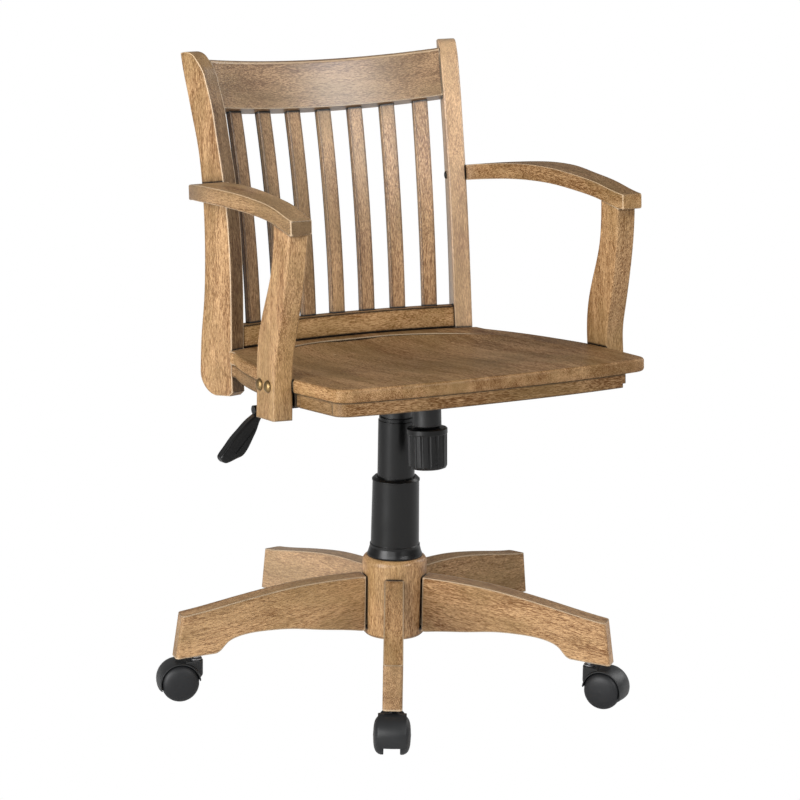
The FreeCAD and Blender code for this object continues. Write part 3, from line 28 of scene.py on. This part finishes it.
# grain directions of the seat and of what stands on it, which lean back together
SEAT_PITCH = math.radians(4.5)
SEAT_UP = Vector((0, math.sin(SEAT_PITCH), math.cos(SEAT_PITCH)))
SEAT_BACK = Vector((0, math.cos(SEAT_PITCH), -math.sin(SEAT_PITCH)))

# legs, from the one ahead towards the sitter's right, in degrees, and how much each drops along its length
LEG_NAMES = ("leg_front", "leg_right", "leg_rear_right", "leg_rear_left", "leg_left")
STRAIGHT_AHEAD = -90
FIRST_LEG = 28.8
LEG_STEP = 72
LEG_DROP = 0.13

WHITE = (1, 1, 1, 1)

# building blocks of the materials


def rgb(r, g, b):
    # display colour in 0..255 to a linear shader colour
    linear = []
    for part in (r, g, b):
        share = part / 255
        linear.append(share / 12.92 if share <= 0.04045 else ((share + 0.055) / 1.055) ** 2.4)
    return (*linear, 1.0)


def dimmed(colour, share):
    return tuple(part * share for part in colour[:3]) + (1.0,)


def new_material(name):
    material = bpy.data.materials.new(name)
    material.use_nodes = True
    material.node_tree.nodes.clear()
    return material


class Tree:
    # short forms of the shader nodes that the looks below are made of

    def __init__(self, owner):
        self.nodes = owner.node_tree.nodes
        self.links = owner.node_tree.links

    def add(self, kind, **fields):
        node = self.nodes.new(kind)
        for key, value in fields.items():
            setattr(node, key, value)
        return node

    def put(self, value, socket):
        if isinstance(value, bpy.types.NodeSocket):
            self.links.new(value, socket)
        else:
            socket.default_value = value

    def math(self, operation, a, b=0.0):
        node = self.add("ShaderNodeMath", operation=operation)
        self.put(a, node.inputs[0])
        self.put(b, node.inputs[1])
        return node.outputs[0]

    def vector_math(self, operation, a, b, output="Vector"):
        node = self.add("ShaderNodeVectorMath", operation=operation)
        self.put(a, node.inputs[0])
        self.put(b, node.inputs[1])
        return node.outputs[output]

    def split(self, vector):
        node = self.add("ShaderNodeSeparateXYZ")
        self.put(vector, node.inputs[0])
        return node.outputs

    def mix(self, share, a, b, blend="MIX"):
        # the colour sockets of this node are its inputs 6 and 7 and its output 2
        node = self.add("ShaderNodeMix", data_type="RGBA", blend_type=blend)
        self.put(share, node.inputs[0])
        self.put(a, node.inputs[6])
        self.put(b, node.inputs[7])
        return node.outputs[2]

    def span(self, value, low, high, to_low=0.0, to_high=1.0):
        # low to high becomes to_low to to_high, and what lies past either end is held there
        node = self.add("ShaderNodeMapRange")
        self.put(value, node.inputs[0])
        for index, number in enumerate((low, high, to_low, to_high), start=1):
            node.inputs[index].default_value = number
        return node.outputs[0]

    def noise(self, vector, along, across, detail=2.0, rough=0.5):
        # cloudy pattern with so many cells per metre along X and across it
        scaled = self.add("ShaderNodeMapping")
        self.put(vector, scaled.inputs["Vector"])
        scaled.inputs["Scale"].default_value = (along, across, across)
        node = self.add("ShaderNodeTexNoise")
        self.put(scaled.outputs[0], node.inputs["Vector"])
        node.inputs["Scale"].default_value = 1.0
        node.inputs["Detail"].default_value = detail
        node.inputs["Roughness"].default_value = rough
        return node.outputs["Fac"]

    def openness(self, reach, **fields):
        # 1 in the open, and less where surfaces lie within reach
        node = self.add("ShaderNodeAmbientOcclusion", **fields)
        node.inputs["Distance"].default_value = reach
        return node.outputs["AO"]

    def rounded(self, radius, samples=4):
        # surface direction with every edge rounded off
        node = self.add("ShaderNodeBevel", samples=samples)
        node.inputs["Radius"].default_value = radius
        return node.outputs[0]

    def bump(self, height, strength, depth, normal):
        node = self.add("ShaderNodeBump")
        node.inputs["Strength"].default_value = strength
        node.inputs["Distance"].default_value = depth
        self.put(height, node.inputs["Height"])
        self.put(normal, node.inputs["Normal"])
        return node.outputs[0]

    def surface(self, colour, roughness, normal, **values):
        # values are further inputs of the shader, with underscores for the spaces in their names
        shader = self.add("ShaderNodeBsdfPrincipled")
        self.put(colour, shader.inputs["Base Color"])
        self.put(roughness, shader.inputs["Roughness"])
        self.put(normal, shader.inputs["Normal"])
        for key, value in values.items():
            self.put(value, shader.inputs[key.replace("_", " ")])
        return shader.outputs[0]

    def seen_or_lit(self, lit, seen):
        # lit is what shines on the chair, seen is what the camera sees in its place
        rays = self.add("ShaderNodeLightPath")
        blend = self.add("ShaderNodeMixShader")
        self.put(rays.outputs["Is Camera Ray"], blend.inputs[0])
        self.put(lit, blend.inputs[1])
        self.put(seen, blend.inputs[2])
        return blend.outputs[0]

    def finish(self, shader, kind="ShaderNodeOutputMaterial"):
        self.put(shader, self.add(kind).inputs["Surface"])


# wood: brown glaze over a pale open grain, wiped off the faces, with painted shade in the hollows, painted
# light and shade on faces by how they turn, and a painted highlight along the edges

WOOD_DARK = rgb(108, 68, 27)
WOOD_PALE = rgb(204, 164, 118)
WOOD_GREY = rgb(140, 113, 70)
STREAK = rgb(86, 50, 15)
# painted shade in the hollows
HOLLOW_SHADE = rgb(40, 24, 12)
SEAM = rgb(10, 6, 4)
# painted highlight on the edges
ARRIS_HIGHLIGHT = rgb(226, 200, 166)
# paler greyish painted reflection
SHEEN_VEIL = rgb(206, 182, 156)

# grain: where each seed starts, its sway across, and the share of each layer
SEED_STEP = (0.37, 0.19, 0.23)
SWAY_CELLS = 7.0
SWAY_WIDTH = 0.014
BANDS_SHARE = 0.30
FIBRE_SHARE = 0.32
FINE_SHARE = 0.38
BLOTCH_SHARE = 0.5
FLECK_SHARE = 0.5
BOARD_SHARE = 0.22
BOARD_START = 0.41

# glaze, painted shade and painted highlight: how far each reaches, in metres, the strength of the painted
# shade in hollows, and how softly the painted highlight on a rounded edge fades
HOLLOW_SHADE_REACH = 0.020
HOLLOW_SHADE_SHARE = 0.35
SEAM_REACH = 0.0050
SHARP_EDGE_REACH = 0.0060
HIGHLIGHTED_EDGE_REACH = 0.0045
ARRIS_HIGHLIGHT_REACH = 0.0045
HIGHLIGHT_BLUR = 0.06

# varnish: rounding of the edges and depth of the grain, in metres, and how glossy it is
WOOD_EDGE_RADIUS = 0.0012
WOOD_RELIEF = 0.0005
WOOD_BUMP = 0.5
FLECK_HEIGHT = -0.7
FIBRE_HEIGHT = 0.45
DARK_ROUGHNESS = 0.68
PALE_ROUGHNESS = 0.56
VARNISH_GLOSS = 0.4
COAT_ROUGHNESS = 0.3


def grain_turn(direction):
    # turns texture space so its X runs along the grain
    x = direction.normalized()
    y = UP.cross(x)
    if y.length < 0.1:
        y = DEPTH.cross(x)
    y.normalize()
    z = x.cross(y)
    return Matrix((x, y, z)).transposed().to_euler()


def grain_space(t, place, direction, seed):
    # X along the grain, starting elsewhere for each seed, with a slow sway across
    turned = t.add("ShaderNodeMapping", vector_type="TEXTURE")
    t.put(place, turned.inputs["Vector"])
    turned.inputs["Rotation"].default_value = grain_turn(direction)
    turned.inputs["Location"].default_value = tuple(step * seed for step in SEED_STEP)
    drift = t.add("ShaderNodeTexNoise")
    t.put(turned.outputs[0], drift.inputs["Vector"])
    drift.inputs["Scale"].default_value = SWAY_CELLS
    drift.inputs["Detail"].default_value = 1.0
    sway = t.vector_math("MULTIPLY", drift.outputs["Color"], (0.0, SWAY_WIDTH, SWAY_WIDTH))
    return t.vector_math("ADD", turned.outputs[0], sway)


def grain_layer(t, grain, along, across, detail, rough, low, high, share=1.0):
    # streaks that lie in a pattern's range from low to high, at most share strong
    return t.span(t.noise(grain, along, across, detail, rough), low, high, 0.0, share)


def by_boards(t, body, place, width):
    # glued staves of this width across X, each in its own shade
    stave = t.math("FLOOR", t.math("DIVIDE", t.math("ADD", t.split(place)[X], BOARD_START * width), width))
    shade = t.add("ShaderNodeTexWhiteNoise", noise_dimensions="1D")
    t.put(stave, shade.inputs["W"])
    return t.mix(t.span(shade.outputs["Value"], 0.0, 1.0, 0.0, BOARD_SHARE), body, STREAK)


def glaze_and_shade(t, body, edge, edge_reach):
    # painted shade in hollows, and dark glaze in seams and just beside the sharp edges
    hollow_shade = t.openness(HOLLOW_SHADE_REACH, samples=6)
    body = t.mix(t.span(hollow_shade, low=0.35, high=0.9, to_low=HOLLOW_SHADE_SHARE, to_high=0.0), body, HOLLOW_SHADE)
    seam = t.openness(SEAM_REACH, samples=8)
    body = t.mix(t.span(seam, low=0.66, high=0.86, to_low=1.0, to_high=0.0), body, SEAM)
    flat = t.add("ShaderNodeNewGeometry").outputs["Normal"]
    agreement = t.vector_math("DOT_PRODUCT", t.rounded(edge_reach, samples=8), flat, output="Value")
    return t.mix(t.span(agreement, low=0.992, high=0.95, to_low=0.0, to_high=edge), body, SEAM)


def toned_and_shaded(t, body, normal, tone, top_shading, front_shading):
    # tone of the piece, times painted light and shade on faces turned up and forward
    top_shade_factor = t.span(normal[Z], low=0.6, high=0.95, to_low=1.0, to_high=top_shading)
    front_shade_factor = t.span(normal[Y], low=-0.6, high=-0.95, to_low=1.0, to_high=front_shading)
    tone_and_shade = t.math("MULTIPLY", t.math("MULTIPLY", top_shade_factor, front_shade_factor), tone)
    grey = t.add("ShaderNodeCombineColor")
    for socket in grey.inputs[:3]:
        t.put(tone_and_shade, socket)
    return t.mix(1.0, body, grey.outputs[0], blend="MULTIPLY")


def edge_highlighted(t, body, normal, arris_highlight, rounded_highlight):
    # painted highlight along the sharp arris, and along a rounded edge where the normal leans within the
    # given axis and range
    corner = t.openness(ARRIS_HIGHLIGHT_REACH, samples=8, inside=True, only_local=True)
    highlight_share = t.span(corner, low=0.60, high=0.72, to_low=arris_highlight, to_high=0.0)
    if rounded_highlight:
        axis, low, high = rounded_highlight
        lean = t.math("ABSOLUTE", normal[axis])
        rise = t.span(lean, low - HIGHLIGHT_BLUR, low + HIGHLIGHT_BLUR)
        fall = t.span(lean, high - HIGHLIGHT_BLUR, high + HIGHLIGHT_BLUR, arris_highlight, 0.0)
        highlight_share = t.math("MAXIMUM", highlight_share, t.math("MULTIPLY", rise, fall))
    return t.mix(highlight_share, body, ARRIS_HIGHLIGHT)


def wood(name, direction, seed, tone=1.0, top_shading=1.0, front_shading=1.0, sheen=0.5, edge=0.55, arris_highlight=0.5, rounded_highlight=None,
         boards=0.0, sheen_veil=0.0):
    # tone: brightness, top and front shading: painted light and shade on faces turned up and forward
    # sheen: strength of the varnish, edge: dark glaze beside the edges, arris highlight: strength of the
    # painted highlight on the edges
    # rounded highlight: axis and range of the normal that mark a rounded edge that gets a painted highlight
    # as well
    # boards: width of the glued staves, sheen veil: share of a paler greyish painted reflection
    material = new_material(name)
    t = Tree(material)
    coords = t.add("ShaderNodeTexCoord")
    place = coords.outputs["Object"]
    normal = t.split(coords.outputs["Normal"])

    grain = grain_space(t, place, direction, seed)
    bands = grain_layer(t, grain, along=2.2, across=34, detail=3, rough=0.8, low=0.34, high=0.66)
    fibre = grain_layer(t, grain, along=60, across=760, detail=3, rough=0.6, low=0.36, high=0.64)
    fine = grain_layer(t, grain, along=150, across=1150, detail=2, rough=0.6, low=0.36, high=0.64)
    close = t.math("ADD", t.math("MULTIPLY", fibre, FIBRE_SHARE), t.math("MULTIPLY", fine, FINE_SHARE))
    figure = t.math("ADD", t.math("MULTIPLY", bands, BANDS_SHARE), close)
    blotch = grain_layer(t, grain, along=7, across=16, detail=3, rough=0.6, low=0.42, high=0.62,
                         share=BLOTCH_SHARE)
    fleck = grain_layer(t, grain, along=230, across=800, detail=2, rough=0.6, low=0.55, high=0.66)

    body = t.mix(t.span(figure, 0.25, 0.75), WOOD_DARK, WOOD_PALE)
    body = t.mix(blotch, body, WOOD_GREY)
    body = t.mix(t.math("MULTIPLY", fleck, FLECK_SHARE), body, STREAK)
    # paler greyish veil painted in where reflected light would lie
    if sheen_veil > 0:
        body = t.mix(sheen_veil, body, SHEEN_VEIL)
    if boards > 0:
        body = by_boards(t, body, place, boards)
    body = glaze_and_shade(t, body, edge, HIGHLIGHTED_EDGE_REACH if arris_highlight > 0 else SHARP_EDGE_REACH)
    body = toned_and_shaded(t, body, normal, tone, top_shading, front_shading)
    if arris_highlight > 0:
        body = edge_highlighted(t, body, normal, arris_highlight, rounded_highlight)

    softened = t.rounded(WOOD_EDGE_RADIUS)
    relief = t.math("ADD", t.math("MULTIPLY", fleck, FLECK_HEIGHT), t.math("MULTIPLY", fibre, FIBRE_HEIGHT))
    bumpy = t.bump(relief, WOOD_BUMP, WOOD_RELIEF, softened)
    roughness = t.span(figure, low=0.2, high=0.8, to_low=DARK_ROUGHNESS, to_high=PALE_ROUGHNESS)
    t.finish(t.surface(body, roughness, bumpy, Specular_IOR_Level=VARNISH_GLOSS * sheen,
                       Coat_Weight=sheen, Coat_Roughness=COAT_ROUGHNESS, Coat_Normal=softened))
    return material


# moulded plastic with a fine grain, and metal with smudges

PLASTIC_EDGE_RADIUS = 0.0008
PLASTIC_RELIEF = 0.0003
PLASTIC_GLOSS = 0.35
PATCH_CELLS = 30
PATCH_SHADE = 0.8
PATCH_SHINE = 0.04
PATCH_DULLNESS = 0.05
METAL_EDGE_RADIUS = 0.0005
SMUDGE_CELLS = 140
SMUDGE_SHADE = 0.45
SMUDGE_DULLNESS = 0.15


def plastic(name, colour, roughness, texture=0.15, grain_cells=900):
    material = new_material(name)
    t = Tree(material)
    place = t.add("ShaderNodeTexCoord").outputs["Object"]
    speckle = t.noise(place, grain_cells, grain_cells, detail=3, rough=0.6)
    patches = t.noise(place, PATCH_CELLS, PATCH_CELLS)
    bumpy = t.bump(speckle, texture, PLASTIC_RELIEF, t.rounded(PLASTIC_EDGE_RADIUS))
    mottled = t.mix(patches, dimmed(colour, PATCH_SHADE), colour)
    dullness = t.span(patches, 0.3, 0.7, roughness - PATCH_SHINE, roughness + PATCH_DULLNESS)
    t.finish(t.surface(mottled, dullness, bumpy, Specular_IOR_Level=PLASTIC_GLOSS))
    return material


def metal(name, colour, roughness, metallic=1.0, wear=0.2):
    material = new_material(name)
    t = Tree(material)
    place = t.add("ShaderNodeTexCoord").outputs["Object"]
    smudge = t.noise(place, SMUDGE_CELLS, SMUDGE_CELLS, detail=4, rough=0.65)
    smudged = t.mix(t.span(smudge, 0.42, 0.68, 0.0, wear), colour, dimmed(colour, SMUDGE_SHADE))
    dullness = t.span(smudge, 0.3, 0.7, roughness, roughness + SMUDGE_DULLNESS)
    t.finish(t.surface(smudged, dullness, t.rounded(METAL_EDGE_RADIUS), Metallic=metallic))
    return material


def dress(name, material):
    mesh = nodes[name].data
    if len(mesh.materials) == 0:
        mesh.materials.append(material)
    for index in range(len(mesh.materials)):
        mesh.materials[index] = material


# wood pieces, each with its own grain direction, seed and tone, and its share of painted shade, painted
# highlight and painted reflection

# ranges of the normal along rounded edges that get a painted highlight
ARM_HIGHLIGHT = (X, 0.4, 0.72)
POST_HIGHLIGHT = (X, 0.52, 0.78)
CREST_HIGHLIGHT = (Z, 0.55, 0.8)
STAVE = 0.108
WOODS = {
    "seat_slab": (SEAT_BACK, 1, {"tone": 0.85, "top_shading": 0.84, "front_shading": 0.74, "sheen": 0.15, "edge": 0.7,
                                 "arris_highlight": 0.55, "boards": STAVE}),
    "seat_front_strip": (ACROSS, 2, {"tone": 0.56, "sheen": 0.2, "arris_highlight": 0.05}),
    "seat_side_strips": (SEAT_BACK, 3, {"tone": 0.55, "sheen": 0.2, "arris_highlight": 0.05}),
    "back_post_right": (SEAT_UP, 4, {"tone": 0.88, "front_shading": 0.4, "arris_highlight": 0.6, "rounded_highlight": POST_HIGHLIGHT}),
    "back_post_left": (SEAT_UP, 5, {"tone": 1.12, "sheen": 1.0, "edge": 0.7, "arris_highlight": 0.4, "sheen_veil": 0.2}),
    "crest_rail": (ACROSS, 6, {"tone": 0.68, "sheen": 1.0, "arris_highlight": 0.5, "rounded_highlight": CREST_HIGHLIGHT}),
    "back_lower_rail": (ACROSS, 7, {"tone": 0.97, "sheen": 0.2, "edge": 0.9, "arris_highlight": 0.0}),
    "armrest_right": (SEAT_BACK, 8, {"tone": 0.70, "top_shading": 1.33, "front_shading": 0.6, "arris_highlight": 0.6,
                                     "rounded_highlight": ARM_HIGHLIGHT}),
    "armrest_left": (SEAT_BACK, 9, {"tone": 0.77, "top_shading": 0.8, "sheen": 0.2, "arris_highlight": 0.6, "rounded_highlight": ARM_HIGHLIGHT}),
    "arm_post_right": (SEAT_UP, 10, {"tone": 0.93, "arris_highlight": 0.15}),
    "arm_post_left": (SEAT_UP, 11, {"tone": 0.95, "front_shading": 0.79, "sheen": 0.3}),
    "hub": (UP, 12, {"tone": 1.05, "front_shading": 0.85, "edge": 0.7, "arris_highlight": 0.6}),
}
# the slat tones rise from the first slat to the seventh, so they also hold painted shade, darker on the
# slats turned away from the lamps on the left
SLAT_TONES_AND_SHADE = (0.66, 0.68, 0.85, 0.92, 0.85, 0.98, 1.03)
SLAT_SEED = 20
LEG_TRAITS = ({"tone": 0.70, "top_shading": 1.36}, {"tone": 0.82, "top_shading": 1.24}, {"tone": 0.95, "sheen_veil": 0.2},
              {"tone": 0.64, "sheen": 0.2}, {"tone": 0.96, "top_shading": 0.75})
LEG_SEED = 30

for name, (direction, seed, traits) in WOODS.items():
    dress(name, wood(name + "_wood", direction, seed, **traits))
for number, tone in enumerate(SLAT_TONES_AND_SHADE, start=1):
    name = "back_slat_%d" % number
    dress(name, wood(name + "_wood", SEAT_UP, SLAT_SEED + number, tone, sheen=0.9, edge=1.0, arris_highlight=0.0))
for number, name in enumerate(LEG_NAMES):
    heading = math.radians(STRAIGHT_AHEAD - (FIRST_LEG + LEG_STEP * number))
    along = Vector((math.cos(heading), math.sin(heading), -LEG_DROP))
    dress(name, wood(name + "_wood", along, LEG_SEED + number, **LEG_TRAITS[number]))

# plastic and metal pieces

black_shell = plastic("column_satin", rgb(9, 9, 9), 0.30)
black_ribbed = plastic("control_satin", rgb(9, 9, 9), 0.30)
black_hood = plastic("hood_satin", rgb(32, 33, 34), 0.40)
charcoal = plastic("wheel_nylon", rgb(27, 28, 30), 0.48, texture=0.25, grain_cells=1400)
enamel = metal("black_enamel_coat", rgb(20, 20, 20), 0.35, metallic=0.0)
brass = metal("antique_brass_metal", rgb(150, 124, 84), 0.34, wear=0.6)
dark_steel = metal("blackened_steel", rgb(36, 36, 36), 0.4, metallic=0.6)
bright_steel = metal("ground_steel", rgb(190, 190, 192), 0.22)
plated = metal("zinc_plate", rgb(150, 150, 152), 0.35)

PLAIN = {
    "cover_lower": black_shell,
    "cover_upper": black_shell,
    "tension_knob": black_ribbed,
    "lever_paddle": black_ribbed,
    "lever_rod": dark_steel,
    "tension_cup": enamel,
    "tilt_plate": enamel,
    "mechanism_housing": enamel,
    "gas_tube": enamel,
    "mechanism_pins": bright_steel,
    "gas_cylinder": bright_steel,
    "piston_rod": bright_steel,
    "caster_sockets": plated,
    "arm_post_bolts": brass,
    "frame_bolts": dark_steel,
    "plate_screws": dark_steel,
}
CASTER_PARTS = {"hood": black_hood, "steel": plated, "wheel_a": charcoal, "wheel_b": charcoal}

for name, material in PLAIN.items():
    dress(name, material)
for number in range(1, len(LEG_NAMES) + 1):
    for part, material in CASTER_PARTS.items():
        dress("caster_%d_%s" % (number, part), material)

# white studio floor, which the camera sees as plain white

FLOOR_REACH = 30.0
FLOOR_GREY = (0.8, 0.8, 0.8, 1.0)

floor_mesh = bpy.data.meshes.new("studio_floor")
corners = [(x * FLOOR_REACH, y * FLOOR_REACH, 0) for x, y in ((-1, -1), (1, -1), (1, 1), (-1, 1))]
floor_mesh.from_pydata(corners, [], [(0, 1, 2, 3)])
floor = bpy.data.objects.new("studio_floor", floor_mesh)
bpy.context.scene.collection.objects.link(floor)
floor_look = new_material("studio_floor_white")
t = Tree(floor_look)
paper = t.add("ShaderNodeBsdfDiffuse")
paper.inputs["Color"].default_value = FLOOR_GREY
glow = t.add("ShaderNodeEmission")
glow.inputs["Color"].default_value = WHITE
t.finish(t.seen_or_lit(paper.outputs[0], glow.outputs[0]))
floor_mesh.materials.append(floor_look)

# white surround, dim as a light

ROOM_LIGHT = 0.28

world = bpy.data.worlds.new("studio_surround")
bpy.context.scene.world = world
world.use_nodes = True
world.node_tree.nodes.clear()
t = Tree(world)
backdrops = []
for strength in (ROOM_LIGHT, 1.0):
    backdrop = t.add("ShaderNodeBackground")
    backdrop.inputs["Color"].default_value = WHITE
    backdrop.inputs["Strength"].default_value = strength
    backdrops.append(backdrop.outputs[0])
t.finish(t.seen_or_lit(*backdrops), kind="ShaderNodeOutputWorld")

# soft lamps: two from the left, two that give the crest and the slats their sheen, one on the right


def softbox(name, place, aim, width, height, power):
    lamp = bpy.data.lights.new(name, "AREA")
    lamp.shape = "RECTANGLE"
    lamp.size = width
    lamp.size_y = height
    lamp.energy = power
    holder = bpy.data.objects.new(name, lamp)
    bpy.context.scene.collection.objects.link(holder)
    holder.location = place
    holder.rotation_euler = (Vector(aim) - Vector(place)).to_track_quat("-Z", "Y").to_euler()


MIDDLE = (0, 0, 0.5)
CREST = (0, 0.2, 0.85)
SLATS = (0, 0.2, 0.75)
softbox("key_left", (-3.5, -0.9, 1.3), MIDDLE, width=1.8, height=2.4, power=145)
softbox("key_front", (-2.7, -3.0, 1.9), MIDDLE, width=2.0, height=1.6, power=50)
softbox("sheen_high", (1.4, -2.4, 2.9), CREST, width=1.0, height=0.9, power=38)
softbox("sheen_low", (0.9, -3.5, 1.95), SLATS, width=2.0, height=0.5, power=36)
softbox("right_rim", (3.0, 0.3, 1.8), MIDDLE, width=1.2, height=2.2, power=32)

# camera: where it stands from its target, how far off, and its roll

CAMERA_AZIMUTH = math.radians(-28.941)
CAMERA_ELEVATION = math.radians(13.237)
CAMERA_ROLL = math.radians(0.970)
CAMERA_DISTANCE = 4.8075
CAMERA_TARGET = Vector((0.0046, 0, 0.4268))
LENS = 148.78
SENSOR = 36

backward = Vector((math.sin(CAMERA_AZIMUTH) * math.cos(CAMERA_ELEVATION),
                   -math.cos(CAMERA_AZIMUTH) * math.cos(CAMERA_ELEVATION),
                   math.sin(CAMERA_ELEVATION)))
level_right = Vector((math.cos(CAMERA_AZIMUTH), math.sin(CAMERA_AZIMUTH), 0))
level_up = backward.cross(level_right)
rolled_right = level_right * math.cos(CAMERA_ROLL) + level_up * math.sin(CAMERA_ROLL)
rolled_up = level_up * math.cos(CAMERA_ROLL) - level_right * math.sin(CAMERA_ROLL)
turn = Matrix((rolled_right, rolled_up, backward)).transposed().to_4x4()

lens = bpy.data.cameras.new("photo_camera")
lens.lens = LENS
lens.sensor_width = SENSOR
camera = bpy.data.objects.new("photo_camera", lens)
bpy.context.scene.collection.objects.link(camera)
camera.matrix_world = Matrix.Translation(CAMERA_TARGET + backward * CAMERA_DISTANCE) @ turn
bpy.context.scene.camera = camera
bpy.context.scene.view_settings.view_transform = "Standard"
